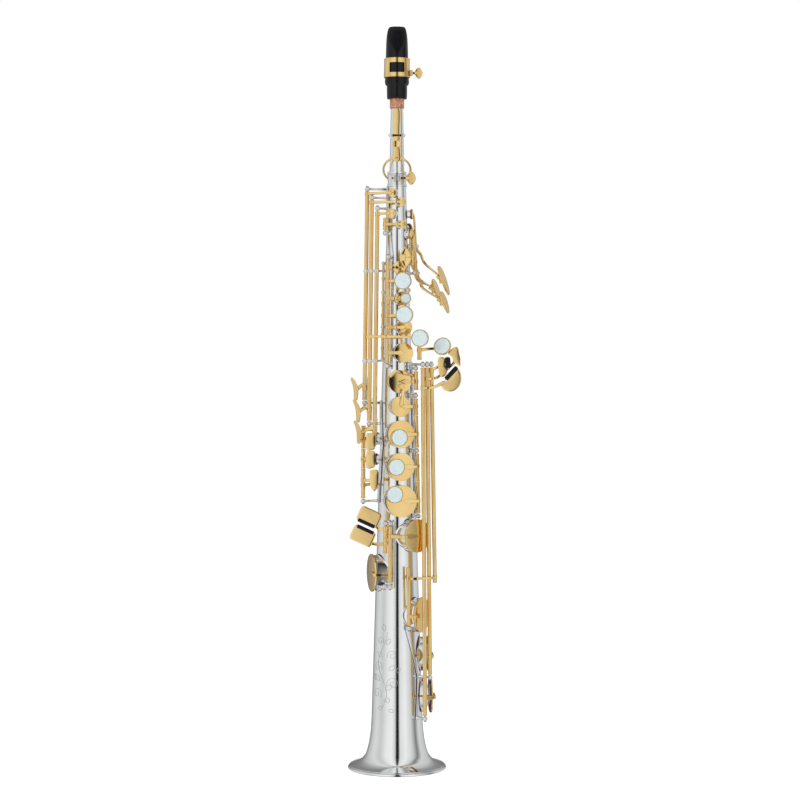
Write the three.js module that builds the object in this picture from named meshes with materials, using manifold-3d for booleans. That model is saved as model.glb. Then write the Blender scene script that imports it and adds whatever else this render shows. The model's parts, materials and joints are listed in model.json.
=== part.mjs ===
// A straight soprano saxophone, standing on its bell: conical body, detachable straight neck,
// mouthpiece, and its key work. Millimetres, +Z up the bore, origin at the centre of the bell rim.
// The front, with the stack keys, faces -Y. Azimuths start at the front and grow towards +X.
import * as THREE from "three";
import { mergeVertices } from "three/addons/utils/BufferGeometryUtils.js";
import Module from "manifold-3d";

const wasm = await Module();
wasm.setup();

// Driving dimensions.
const BODY_TOP = 541;
const BODY_TOP_RADIUS = 8.4;
const CONE_RUN = 32; // length of bore for each millimetre of radius
const BELL_TOP = 46;
const BELL_RIM_RADIUS = 45.8;
const WALL = 1;
const CHIMNEY_HEIGHT = 3;
const CHIMNEY_WALL = 1;
const PAD_GAP = 0.4;
const CUP_WALL = 2; // height of a key cup's side
const CUP_DOME = 0.9; // how far a key cup's top is crowned
const CUP_OVERHANG = 1.2; // cup radius past the chimney's outside
const TUBE_RADIUS = 1.9;
const POST_BALL = 2.3;
const POST_STEM = 1.2;
const END_GAP = 0.4; // between a hinge tube and the post beside it
const RIB_LIFT = 1; // centre of a rib above the body
const RIB_WIDTH = 4;
const RIB_THICKNESS = 0.9;
const RIB_STEP = 32; // degrees of azimuth for each straight length of rib
const ARM_WIDTH = 3;
const ARM_THICKNESS = 1.6;
const PEARL_THICKNESS = 1.6;
const TAU = 2 * Math.PI;

const silver = new THREE.MeshStandardMaterial({ color: 0xdfe3e4, roughness: 0.12, metalness: 1 });
const gold = new THREE.MeshStandardMaterial({ color: 0xd9b25c, roughness: 0.2, metalness: 1 });
const ebonite = new THREE.MeshStandardMaterial({ color: 0x0a0b0e, roughness: 0.25, metalness: 0 });
const cork = new THREE.MeshStandardMaterial({ color: 0xa9694c, roughness: 0.9, metalness: 0 });
const pearl = new THREE.MeshStandardMaterial({ color: 0xdbe6e6, roughness: 0.2, metalness: 0 });
const cane = new THREE.MeshStandardMaterial({ color: 0xd9c07a, roughness: 0.7, metalness: 0 });

const root = new THREE.Group();

// ---- Frame of the instrument ----

const v = (x, y, z) => new THREE.Vector3(x, y, z);
const bodyRadius = (z) => BODY_TOP_RADIUS + (BODY_TOP - 1 - z) / CONE_RUN;
const radians = (degrees) => (degrees * Math.PI) / 180;
const outward = (azimuth) => v(Math.sin(radians(azimuth)), -Math.cos(radians(azimuth)), 0);
const tangent = (azimuth) => v(Math.cos(radians(azimuth)), Math.sin(radians(azimuth)), 0);
const azimuthOf = (p) => (Math.atan2(p.x, -p.y) * 180) / Math.PI;

/** The point at an azimuth and height, `lift` above the body's surface. */
const onBody = (azimuth, z, lift) => {
  const p = outward(azimuth).multiplyScalar(bodyRadius(z) + lift);
  return p.setZ(z);
};

// ---- Solids ----

/** A manifold solid from a closed three.js geometry, turned right side out. */
function solid(geometry) {
  const plain = geometry.index ? geometry.toNonIndexed() : geometry.clone();
  plain.deleteAttribute("normal");
  plain.deleteAttribute("uv");
  const merged = mergeVertices(plain, 1e-4);
  const triVerts = new Uint32Array(merged.index.array);
  const vertProperties = merged.attributes.position.array;
  const made = new wasm.Manifold(new wasm.Mesh({ numProp: 3, vertProperties, triVerts }));
  if (made.volume() > 0) return made;
  for (let i = 0; i < triVerts.length; i += 3) {
    const second = triVerts[i + 1];
    triVerts[i + 1] = triVerts[i + 2];
    triVerts[i + 2] = second;
  }
  return new wasm.Manifold(new wasm.Mesh({ numProp: 3, vertProperties, triVerts }));
}

const join = (...solids) => solids.flat().reduce((all, one) => all.add(one));

/** A geometry built along +Y, laid from a to b. */
function along(geometry, a, b) {
  const turn = new THREE.Quaternion();
  turn.setFromUnitVectors(v(0, 1, 0), b.clone().sub(a).normalize());
  const middle = a.clone().add(b).multiplyScalar(0.5);
  return geometry.applyMatrix4(new THREE.Matrix4().compose(middle, turn, v(1, 1, 1)));
}

function rod(a, b, radius, sides = 10, endRadius = radius) {
  return solid(along(new THREE.CylinderGeometry(endRadius, radius, a.distanceTo(b), sides), a, b));
}

function ball(p, radius) {
  return solid(new THREE.SphereGeometry(radius, 8, 4).translate(p.x, p.y, p.z));
}

/** A flat bar from a to b, `width` across and `thickness` along `up`. */
function bar(a, b, width, thickness, up) {
  const length = b.clone().sub(a);
  const x = length.clone().normalize();
  const y = x.clone().cross(up).normalize();
  const z = y.clone().cross(x);
  const basis = new THREE.Matrix4().makeBasis(x, y, z);
  const middle = a.clone().add(b).multiplyScalar(0.5);
  const box = new THREE.BoxGeometry(length.length(), width, thickness).applyMatrix4(basis);
  return solid(box.translate(middle.x, middle.y, middle.z));
}

/** A turned solid whose profile of [radius, height] pairs stands on `base` along `axis`. */
function turned(profile, base, axis, sides) {
  const points = profile.map(([r, h]) => new THREE.Vector2(r, h));
  const turn = new THREE.Quaternion().setFromUnitVectors(v(0, 1, 0), axis);
  const place = new THREE.Matrix4().compose(base, turn, v(1, 1, 1));
  return solid(new THREE.LatheGeometry(points, sides).applyMatrix4(place));
}

/** An oval plate centred on p, with half sizes along `long` and across it, facing `face`. */
function oval(p, long, face, halfLong, halfWide, thickness, sides = 16) {
  const disc = new THREE.CylinderGeometry(1, 1, thickness, sides);
  disc.scale(halfLong, 1, halfWide);
  const x = long.clone().normalize();
  const y = face.clone().addScaledVector(x, -face.dot(x)).normalize();
  const basis = new THREE.Matrix4().makeBasis(x, y, x.clone().cross(y));
  return solid(disc.applyMatrix4(basis).translate(p.x, p.y, p.z));
}

/** A flat rib bent over the body from one [azimuth, height] to another, its ends run over. */
function surfaceBar(from, to, lift = RIB_LIFT) {
  const turn = ((to[0] - from[0] + 540) % 360) - 180;
  const steps = Math.max(1, Math.ceil(Math.abs(turn) / RIB_STEP));
  const at = (i) => {
    const t = i / steps;
    return onBody(from[0] + turn * t, from[1] + (to[1] - from[1]) * t, lift);
  };
  const pieces = [];
  for (let i = 0; i < steps; i += 1) {
    const ends = [at(i), at(i + 1)];
    const run = ends[1].clone().sub(ends[0]).normalize();
    ends[0].addScaledVector(run, i ? -0.3 : -RIB_WIDTH / 2);
    ends[1].addScaledVector(run, i < steps - 1 ? 0.3 : RIB_WIDTH / 2);
    const up = outward(azimuthOf(ends[0].clone().add(ends[1])));
    pieces.push(bar(ends[0], ends[1], RIB_WIDTH, RIB_THICKNESS, up));
  }
  return join(pieces);
}

function toGeometry(shape) {
  const mesh = shape.getMesh();
  const positions = new Float32Array(mesh.numVert * 3);
  for (let i = 0; i < mesh.numVert; i += 1) {
    positions.set(mesh.vertProperties.subarray(i * mesh.numProp, i * mesh.numProp + 3), i * 3);
  }
  return new THREE.BufferGeometry()
    .setAttribute("position", new THREE.BufferAttribute(positions, 3))
    .setIndex(new THREE.BufferAttribute(mesh.triVerts, 1));
}

function node(name, shape, material, parent = root) {
  const mesh = new THREE.Mesh(toGeometry(shape), material);
  mesh.name = name;
  parent.add(mesh);
  return mesh;
}

// ---- Tone holes: azimuth, height and cup radius of every key cup ----

const HOLES = {
  side_high_e_key: { azimuth: -18, z: 535, cup: 4.3 },
  side_c_key: { azimuth: 16, z: 526.5, cup: 4.4 },
  side_b_flat_key: { azimuth: -24, z: 516, cup: 4.5 },
  palm_f_key: { azimuth: 100, z: 516, cup: 4.7 },
  body_octave_key: { azimuth: 18, z: 506, cup: 4 },
  palm_e_flat_key: { azimuth: 130, z: 503, cup: 5 },
  palm_d_key: { azimuth: 72, z: 497, cup: 5.2 },
  b_key: { azimuth: 8, z: 466, cup: 5.8 },
  bis_key: { azimuth: 16, z: 437.5, cup: 6.4 },
  a_key: { azimuth: 24, z: 411, cup: 7.2 },
  g_key: { azimuth: 20, z: 387.5, cup: 9 },
  g_sharp_key: { azimuth: 8, z: 361, cup: 10.8 },
  f_sharp_key: { azimuth: 6, z: 338, cup: 9.5 },
  f_key: { azimuth: 6, z: 312.5, cup: 12.8 },
  e_key: { azimuth: 5, z: 282.5, cup: 13 },
  d_key: { azimuth: 6, z: 251, cup: 14.8 },
  high_f_sharp_key: { azimuth: -112, z: 308, cup: 5.5 },
  chromatic_f_sharp_key: { azimuth: -112, z: 288, cup: 5.5 },
  high_g_key: { azimuth: -112, z: 265, cup: 5.5 },
  low_c_key: { azimuth: 50, z: 218.5, cup: 15.4 },
  low_e_flat_key: { azimuth: -76, z: 183, cup: 17.6 },
  low_c_sharp_key: { azimuth: 65, z: 144.5, cup: 16.4 },
  low_b_key: { azimuth: 104, z: 106, cup: 17 },
  low_b_flat_key: { azimuth: 104, z: 68, cup: 17.4 },
};
for (const hole of Object.values(HOLES)) {
  hole.n = outward(hole.azimuth);
  hole.top = bodyRadius(hole.z) + CHIMNEY_HEIGHT;
  hole.seat = hole.n.clone().multiplyScalar(hole.top + PAD_GAP).setZ(hole.z);
  hole.crown = hole.n.clone().multiplyScalar(hole.top + PAD_GAP + CUP_WALL + CUP_DOME).setZ(hole.z);
  hole.outer = hole.cup - CUP_OVERHANG;
  hole.bore = hole.outer - CHIMNEY_WALL;
  hole.sides = hole.cup > 8 ? 14 : 10;
}

// ---- Body, bell and fixed fittings ----

const BODY_SIDES = 20;
function bodyTube() {
  const cone = (offset, low, high) => turned([
    [0, low], [bodyRadius(low) + offset, low], [bodyRadius(high) + offset, high], [0, high],
  ], v(0, 0, 0), v(0, 0, 1), BODY_SIDES);
  const outside = [cone(0, BELL_TOP, BODY_TOP)];
  const inside = [cone(-WALL, BELL_TOP - 1, BODY_TOP + 1)];
  for (const { n, z, top, outer, bore, sides } of Object.values(HOLES)) {
    const across = (height) => n.clone().multiplyScalar(height).setZ(z);
    outside.push(rod(v(0, 0, z), across(top), outer, sides));
    inside.push(rod(across(bodyRadius(z) / 3), across(top + 1), bore, sides));
  }
  return join(outside).subtract(join(inside));
}
node("body_tube", bodyTube(), silver);

const BELL_TOP_GAP = 0.4;
const bellOutside = [
  [BELL_RIM_RADIUS - 0.6, 0],
  [BELL_RIM_RADIUS, 0.6],
  [BELL_RIM_RADIUS, 1.7],
  [BELL_RIM_RADIUS - 0.8, 2.4],
  [41.5, 3.3],
  [36.5, 6],
  [31.5, 11],
  [27.6, 19],
  [25.3, 29],
  [24.2, 38],
  [bodyRadius(BELL_TOP), BELL_TOP - BELL_TOP_GAP],
];
const bellInside = [
  [bodyRadius(BELL_TOP) - WALL, BELL_TOP - BELL_TOP_GAP],
  [23.2, 37.8],
  [24.3, 28.6],
  [26.6, 18.4],
  [30.5, 10.2],
  [35.6, 4.9],
  [40.6, 2],
  [BELL_RIM_RADIUS - 2.4, 0.7],
  [BELL_RIM_RADIUS - 2, 0],
];
const bellProfile = [...bellOutside, ...bellInside, bellOutside[0]];
node("bell", turned(bellProfile, v(0, 0, 0), v(0, 0, 1), 26), silver);

const RECEIVER_TOP = 552.5;
const RECEIVER_BORE = 7.6;
const CLAMP_Y = -11.6; // the clamp screw's axis, across the split lugs
const CLAMP_Z = 548.5;
function neckReceiver() {
  const ring = turned([
    [RECEIVER_BORE, BODY_TOP + 0.3],
    [9.1, BODY_TOP + 0.3],
    [9.1, BODY_TOP + 2],
    [8.6, BODY_TOP + 2.6],
    [8.6, RECEIVER_TOP - 1.5],
    [9.1, RECEIVER_TOP - 1],
    [9.1, RECEIVER_TOP],
    [RECEIVER_BORE, RECEIVER_TOP],
    [RECEIVER_BORE, BODY_TOP + 0.3],
  ], v(0, 0, 0), v(0, 0, 1), 20);
  const lugs = solid(new THREE.BoxGeometry(6.5, 7, 7).translate(0, CLAMP_Y + 1, CLAMP_Z));
  const slit = solid(new THREE.BoxGeometry(1.1, 8.4, 16).translate(0, CLAMP_Y + 1, CLAMP_Z));
  const inside = rod(v(0, 0, BODY_TOP), v(0, 0, RECEIVER_TOP + 1), RECEIVER_BORE, 20);
  const hole = rod(v(-9, CLAMP_Y, CLAMP_Z), v(9, CLAMP_Y, CLAMP_Z), 1.6, 10);
  return join(ring, lugs).subtract(inside).subtract(slit).subtract(hole);
}
node("neck_receiver", neckReceiver(), silver);

function thumbScrew(start, end, headAt, shaft, halfHigh, halfWide) {
  const screw = rod(start, end, shaft, 10);
  return join(screw, rod(end, headAt, shaft * 1.5, 10, shaft),
    oval(headAt.clone().add(v(halfWide * 0.8, 0, 0)), v(0, 0, 1), v(0, -1, 0),
      halfHigh, halfWide, 2.4, 14));
}
node("neck_screw", thumbScrew(v(-5, CLAMP_Y, CLAMP_Z), v(8, CLAMP_Y, CLAMP_Z),
  v(9.5, CLAMP_Y, CLAMP_Z), 1.2, 6, 4.4), gold);

/**
 * Posts that stand on the body at hinge ends, tied by ribs that follow the body. A detour
 * [i, j, azimuth] is a rib that runs at that azimuth, beside the tone holes it has to pass.
 */
function posts(name, ends, links, detours = []) {
  const feet = ends.map((p) => [azimuthOf(p), p.z]);
  const parts = ends.map((p, i) => {
    const foot = onBody(feet[i][0], p.z, RIB_LIFT);
    const base = onBody(feet[i][0], p.z, RIB_LIFT - RIB_THICKNESS / 2);
    return join(ball(p, POST_BALL), rod(p, foot, POST_STEM, 4),
      rod(base, onBody(feet[i][0], p.z, 2.4), 2.3, 6, 1.6));
  });
  const ribs = links.map(([i, j]) => surfaceBar(feet[i], feet[j]));
  const around = detours.map(([i, j, azimuth]) => {
    const corners = [feet[i], [azimuth, feet[i][1]], [azimuth, feet[j][1]], feet[j]];
    return join(corners.slice(1).map((corner, k) => surfaceBar(corners[k], corner)));
  });
  node(name, join(parts, ribs, around), silver);
}

/** A hinge line: `at(z)` is the point of its axis at a height. */
function line(top, bottom) {
  const run = top.clone().sub(bottom);
  const axis = run.clone().normalize();
  return { axis, at: (z) => bottom.clone().addScaledVector(run, (z - bottom.z) / run.z) };
}

const LINES = {
  upperStack: line(v(-7.9, -15.8, 477), v(-9.2, -18.4, 374)),
  lowerStack: line(v(17.2, -13.2, 348), v(19.9, -14.6, 232)),
  sideHighE: line(v(-27.4, -6, 540), v(-30.2, -7, 342)),
  sideC: line(v(-23.2, -9, 529), v(-25.8, -10.2, 322)),
  sideBFlat: line(v(-18, -11, 518), v(-20.8, -12.6, 304)),
  rightHand: line(v(-31, -10.5, 320), v(-31.4, -11, 250)),
  lowBFlat: line(v(23.8, -19.6, 374), v(26, -21.8, 52)),
  lowB: line(v(27.8, -16.6, 374), v(30.6, -18, 92)),
  lowCSharpLever: line(v(31.8, -13.4, 374), v(35.2, -13.8, 172)),
  lowCSharp: line(v(10.4, -23.6, 190), v(11.2, -24.4, 136)),
  pinkyLever: line(v(-10.6, -22.6, 228), v(-11.4, -23.8, 174)),
  pinkyKey: line(v(-6, -24.2, 228), v(-6.4, -25.6, 174)),
  gSharpLever: line(v(20.6, -15.4, 398), v(20.8, -15.6, 381)),
  gSharp: line(v(17.4, -14.2, 370.5), v(17.8, -14.6, 353)),
  frontF: line(v(13.6, -13.2, 482), v(13.9, -13.5, 468)),
  bodyOctave: line(v(-10.6, -11.6, 513), v(-10.8, -11.8, 500)),
  octaveRod: line(v(-5.5, 15, 534), v(-6.6, 17.6, 438)),
};

posts("left_hand_posts",
  [LINES.upperStack.at(475.6), LINES.upperStack.at(375.4), LINES.sideHighE.at(538.8),
    LINES.sideC.at(530.6), LINES.sideBFlat.at(520.7), LINES.bodyOctave.at(498)],
  [[0, 1], [2, 3], [3, 4], [5, 0]], [[4, 5, -62]]);
posts("side_key_lower_posts",
  [LINES.sideHighE.at(341), LINES.sideC.at(321.8), LINES.sideBFlat.at(303.5),
    LINES.rightHand.at(250.2)],
  [[0, 1], [1, 2], [2, 3]]);
posts("right_side_posts",
  [LINES.lowBFlat.at(376.7), LINES.lowB.at(376.7), LINES.lowCSharpLever.at(376.7),
    LINES.gSharp.at(373.2), LINES.lowerStack.at(348), LINES.lowerStack.at(297.2),
    LINES.lowerStack.at(236.5)],
  [[0, 1], [1, 2], [0, 3]], [[2, 4, 74], [4, 5, 74], [5, 6, 74]]);
posts("bell_key_lower_posts",
  [LINES.lowBFlat.at(49.4), LINES.lowB.at(87.4), LINES.lowCSharp.at(133.6)],
  [[0, 1], [1, 2]]);
posts("pinky_key_posts",
  [LINES.pinkyLever.at(230.4), LINES.pinkyKey.at(230.4), LINES.pinkyKey.at(172),
    LINES.pinkyLever.at(172)],
  [[0, 1], [2, 3]], [[1, 2, -10]]);

// ---- Keys ----

const KEYS = {};

/** A hinge tube on a line between two heights. */
const tube = (hinge, high, low) => rod(hinge.at(low), hinge.at(high), TUBE_RADIUS, 8);

function cup({ seat, n, cup: radius, sides }) {
  const wall = CUP_WALL;
  return turned([[0, 0], [radius, 0], [radius, wall], [radius * 0.66, wall + CUP_DOME * 0.7],
    [0, wall + CUP_DOME]], seat, n, sides);
}

/** An arm that climbs from its tube to a knee outside the cup and runs to the cup's crown. */
function cupArm(hole, from) {
  const { crown, n, cup: radius } = hole;
  const side = from.clone().sub(crown);
  side.addScaledVector(n, -side.dot(n)).setZ(0).normalize();
  const knee = crown.clone().addScaledVector(side, radius + 1.6).addScaledVector(n, 0.4);
  const tip = crown.clone().addScaledVector(n, 0.1);
  const climb = knee.clone().sub(from);
  const up = v(0, 0, 1).cross(climb).normalize();
  return join(bar(from, knee, ARM_WIDTH, ARM_THICKNESS + 0.4, up),
    rod(knee.clone().addScaledVector(n, -0.9), knee.clone().addScaledVector(n, 0.9),
      ARM_WIDTH / 2, 6),
    bar(knee, tip, ARM_WIDTH, ARM_THICKNESS, n));
}

/** A straight arm of flat bar between points, rounded at each bend. */
function arm(points, up, width = ARM_WIDTH, thickness = ARM_THICKNESS) {
  const half = up.clone().multiplyScalar(thickness / 2);
  const bars = points.slice(1).map((p, i) => bar(points[i], p, width, thickness, up));
  const bends = points.map((p) => rod(p.clone().sub(half), p.clone().add(half), width / 2, 6));
  return join(bars, bends);
}

/** The metal cup that holds a pearl, standing on `n`; the pearl sits a gap above it. */
function pearlHolder(p, n, radius) {
  return turned([[0, 0], [radius + 0.9, 0], [radius + 0.9, 1.4], [0, 1.4]], p, n, 12);
}

function pearlDisc(p, n, radius) {
  const base = p.clone().addScaledVector(n, 1.7);
  return turned([[0, 0], [radius, 0], [radius, PEARL_THICKNESS * 0.6],
    [radius * 0.7, PEARL_THICKNESS], [0, PEARL_THICKNESS]], base, n, 12);
}

/**
 * Adds a key as a group that turns about its hinge. `rest` is how far it stands open, in degrees;
 * `travel` is how far it opens from closed if it rests closed. Positive opens away from the body.
 */
function key(name, { pivot, axis, opens, rest = 0, travel = 0, parts, pearls = {} }) {
  const group = new THREE.Group();
  const sign = Math.sign(axis.clone().cross(opens.at.clone().sub(pivot)).dot(opens.towards));
  group.position.copy(pivot);
  group.quaternion.setFromAxisAngle(axis, radians(sign * rest));
  root.add(group);
  const metal = node(name, join(parts), gold, group);
  metal.position.copy(pivot).negate();
  for (const [pearlName, shape] of Object.entries(pearls)) {
    node(pearlName, shape, pearl, group).position.copy(pivot).negate();
  }
  KEYS[name] = { pivot, axis, sign, rest, travel, pearls: Object.keys(pearls) };
}

/** A key with a cup on a tone hole. `low` and `high` are its tube's ends on the hinge line. */
function cupKey(name, hinge, high, low, armZ, options = {}) {
  const hole = HOLES[name];
  const { parts = [], ...others } = options;
  key(name, {
    pivot: hinge.at(armZ),
    axis: hinge.axis,
    opens: { at: hole.seat, towards: hole.n },
    parts: [tube(hinge, high, low), cup(hole), cupArm(hole, hinge.at(armZ)), ...parts],
    ...others,
  });
}

// Upper stack: left-hand fingers. Cups stand open; the pearls of B and A ride on their own arms.
const PEARL_RADIUS = 7.2;
const upper = LINES.upperStack;
const FRONT = v(0, -1, 0);

function touchArm(hinge, z, pearlAt, n) {
  const from = hinge.at(z);
  const under = pearlAt.clone().addScaledVector(n, 0.3);
  const knee = v(from.x + 3.2, under.y, z);
  return join(bar(from, knee, ARM_WIDTH, ARM_THICKNESS + 0.4, v(0, 0, 1).cross(
    knee.clone().sub(from)).normalize()), arm([knee, under], FRONT, 2.6));
}

const bPearl = v(6.8, -21.2, 453.5);
cupKey("b_key", upper, 472.8, 448.2, 466, {
  rest: 10,
  parts: [touchArm(upper, 453.5, bPearl, FRONT), pearlHolder(bPearl, FRONT, PEARL_RADIUS)],
  pearls: { b_pearl: pearlDisc(bPearl, FRONT, PEARL_RADIUS) },
});
const bisPearl = HOLES.bis_key.crown.clone().add(v(3.2, 0.2, 0));
cupKey("bis_key", upper, 447.8, 432, 437.5, {
  rest: 10,
  parts: [pearlHolder(bisPearl, HOLES.bis_key.n, 4.2)],
  pearls: { bis_pearl: pearlDisc(bisPearl, HOLES.bis_key.n, 4.2) },
});
const aPearl = v(8.6, -23.4, 422.3);
cupKey("a_key", upper, 431.6, 405.8, 411, {
  rest: 10,
  parts: [touchArm(upper, 421.5, aPearl, FRONT), pearlHolder(aPearl, FRONT, PEARL_RADIUS)],
  pearls: { a_pearl: pearlDisc(aPearl, FRONT, PEARL_RADIUS) },
});
const gPearl = v(23, -24.2, 400.8);
cupKey("g_key", upper, 405.4, 378.1, 387.5, {
  rest: 10,
  parts: [
    arm([v(-27, -21.5, 402.4), v(-9, -24, 402.4), v(14, -25.2, 401.6),
      gPearl.clone().add(v(-4, 0.3, 0))], FRONT, 2.4),
    bar(upper.at(402.4), v(-9, -24, 402.4), ARM_WIDTH, 2, v(1, 0, 0)),
    pearlHolder(gPearl, FRONT, PEARL_RADIUS),
  ],
  pearls: { g_pearl: pearlDisc(gPearl, FRONT, PEARL_RADIUS) },
});

// G sharp: a closed cup, and a separate pearl touch in reach of the left little finger.
cupKey("g_sharp_key", LINES.gSharp, 370.5, 353, 361, { travel: 10 });
const gSharpPearl = v(42.4, -17.5, 393);
const pearlFace = v(-0.35, -0.9, 0.3).normalize();
key("g_sharp_lever", {
  pivot: LINES.gSharpLever.at(390),
  axis: LINES.gSharpLever.axis,
  opens: { at: gSharpPearl, towards: v(0, 1, 0) },
  travel: 8,
  parts: [
    tube(LINES.gSharpLever, 398, 381),
    bar(LINES.gSharpLever.at(390), gSharpPearl.clone().add(v(1, 3, -1)), 3, 1.8, FRONT),
    rod(gSharpPearl.clone().add(v(0, 3, -1)), gSharpPearl.clone().add(v(0, -0.4, 0)), 1.5, 8),
    pearlHolder(gSharpPearl, pearlFace, 7.4),
  ],
  pearls: { g_sharp_pearl: pearlDisc(gSharpPearl, pearlFace, 7.4) },
});

// Lower stack: right-hand fingers.
const lower = LINES.lowerStack;
cupKey("f_sharp_key", lower, 345.3, 330, 338, { rest: 11 });

function stackKey(name, high, low, rest, pearlOffset) {
  const { crown, n, azimuth, z } = HOLES[name];
  const place = crown.clone().addScaledVector(tangent(azimuth), pearlOffset[0]);
  place.setZ(z + pearlOffset[1]).addScaledVector(n, -0.5);
  const short = name[0];
  cupKey(name, lower, high, low, z, {
    rest,
    parts: [pearlHolder(place, n, PEARL_RADIUS)],
    pearls: { [`${short}_pearl`]: pearlDisc(place, n, PEARL_RADIUS) },
  });
}
stackKey("f_key", 329.6, 299.9, 12, [-2.6, -3]);
stackKey("e_key", 294.5, 268.4, 12, [-5.2, 0]);
stackKey("d_key", 268, 239.3, 12, [-7.6, 6.4]);

// Front F: a leaf-shaped touch above the B pearl.
const leaf = v(8, -23.6, 475);
key("front_f_key", {
  pivot: LINES.frontF.at(475),
  axis: LINES.frontF.axis,
  opens: { at: leaf, towards: v(0, 1, 0) },
  travel: 6,
  parts: [
    tube(LINES.frontF, 482, 468),
    oval(leaf, v(0, 0, 1), FRONT, 10, 5.4, 1.5, 14),
    bar(LINES.frontF.at(475), v(12, -23.6, 475), 3, 2, v(1, 0, 0)),
    bar(v(13, -23.4, 475), v(8, -23.4, 475), 3, 1.3, FRONT),
  ],
});

// Left little-finger table and the bell keys it works. The table's plates are level at rest.
const TABLE_Y = -15;
const BELL_KEY_REST = 9;
function touchPlate(outline, settle = new THREE.Matrix4()) {
  const shape = new THREE.Shape(outline.map(([x, z]) => new THREE.Vector2(x, z)));
  const plate = new THREE.ExtrudeGeometry(shape, { depth: 1.8, bevelEnabled: false });
  return solid(plate.rotateX(Math.PI / 2).translate(0, TABLE_Y, 0).applyMatrix4(settle));
}

/** Turns what is laid out at rest into where it is when its key is closed. */
function settling(hinge, degrees) {
  const p = hinge.at(370);
  return new THREE.Matrix4().makeTranslation(p.x, p.y, p.z)
    .multiply(new THREE.Matrix4().makeRotationAxis(hinge.axis, radians(degrees)))
    .multiply(new THREE.Matrix4().makeTranslation(-p.x, -p.y, -p.z));
}

function bellKey(name, hinge, [high, low], armZ, points, outline) {
  const settle = settling(hinge, BELL_KEY_REST);
  cupKey(name, hinge, high, low, armZ, {
    rest: BELL_KEY_REST,
    parts: [arm(points.map((p) => p.applyMatrix4(settle)), FRONT, 2.6), touchPlate(outline, settle)],
  });
}
bellKey("low_b_flat_key", LINES.lowBFlat, [374, 52.1], 68,
  [LINES.lowBFlat.at(355), v(27.5, -21.8, 355), v(34, -20.6, 356), v(43, TABLE_Y - 0.6, 360)],
  [[39, 362], [45, 360], [56.5, 371.5], [59.5, 366], [58.8, 358], [54, 352.5], [47, 351.5],
    [41, 354.5]]);
bellKey("low_b_key", LINES.lowB, [374, 90.1], 106,
  [LINES.lowB.at(363.4), v(33.5, TABLE_Y - 3, 364), v(38.5, TABLE_Y + 3, 365.5),
    v(51, TABLE_Y + 3, 376.5), v(53.5, TABLE_Y - 0.6, 380)],
  [[50, 376], [49, 385], [53, 393], [57, 392], [58.2, 377], [56, 373.4]]);
key("low_c_sharp_lever", {
  pivot: LINES.lowCSharpLever.at(374),
  axis: LINES.lowCSharpLever.axis,
  opens: { at: v(44, TABLE_Y, 375), towards: v(0, 1, 0) },
  travel: 5,
  parts: [
    tube(LINES.lowCSharpLever, 374, 174.7),
    arm([LINES.lowCSharpLever.at(371.6), v(41, TABLE_Y, 376)], FRONT, 2.6),
    touchPlate([[37.5, 382], [40, 383.4], [47.5, 381], [48.4, 371], [44.6, 364.6], [39.6, 366.4]]),
    arm([LINES.lowCSharpLever.at(180), v(33.5, -21.5, 180), v(27, -25.3, 180),
      v(17, -26.8, 180)], v(-0.4, -0.9, 0).normalize(), 2.6),
  ],
});
cupKey("low_c_sharp_key", LINES.lowCSharp, 190, 136.3, 144.5, {
  travel: 8,
  parts: [arm([LINES.lowCSharp.at(180), v(13.2, -29.4, 180), v(18, -29.7, 180)], FRONT, 2.6)],
});

// Right little finger: touch levers beside the keys they turn.
const pinky = v(0, 0, 1);
function pinkyLever(name, high, low, z, centre, halfLong, halfWide) {
  const hinge = LINES.pinkyLever;
  key(name, {
    pivot: hinge.at(z),
    axis: hinge.axis,
    opens: { at: centre, towards: v(0, 1, 0) },
    travel: 9,
    parts: [
      tube(hinge, high, low),
      bar(hinge.at(z), v(centre.x + 8, centre.y, z), 3, 2, v(0.2, -1, 0).normalize()),
      bar(v(centre.x + 9, centre.y, z), centre, 4, 1.6, FRONT),
      solid(new THREE.BoxGeometry(2 * halfLong, 1.8, 2 * halfWide)
        .rotateY(radians(24)).translate(centre.x, centre.y, centre.z)),
    ],
  });
  return pinky;
}
pinkyLever("low_e_flat_lever", 228, 217.6, 225, v(-25.5, -24.5, 236.5), 10.5, 7.4);
pinkyLever("low_c_lever", 217.2, 203, 211.5, v(-31.5, -24.5, 219.2), 10.8, 7.4);
cupKey("low_c_key", LINES.pinkyKey, 228, 202, 218.5, { rest: 10 });
cupKey("low_e_flat_key", LINES.pinkyKey, 201.6, 175.9, 183, { travel: 10 });

// Side keys: right-hand touches that turn long tubes up the left of the body.
function sideKey(name, hinge, high, low, armZ, touch) {
  const face = v(-0.78, -0.62, 0);
  const z = touch.z;
  cupKey(name, hinge, high, low, armZ, {
    travel: 9,
    parts: [
      bar(hinge.at(z), touch, 3.4, 1.8, v(0, 0, 1)),
      oval(touch, v(0, 0, 1), face, 9, 4.4, 1.8, 12),
    ],
  });
}
sideKey("side_high_e_key", LINES.sideHighE, 536.1, 343.7, 534.5, v(-38.4, -10.5, 354));
sideKey("side_c_key", LINES.sideC, 528, 324.5, 526.4, v(-36.2, -15, 334));
sideKey("side_b_flat_key", LINES.sideBFlat, 518, 306.2, 515.6, v(-35.4, -18.5, 314.5));

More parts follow.
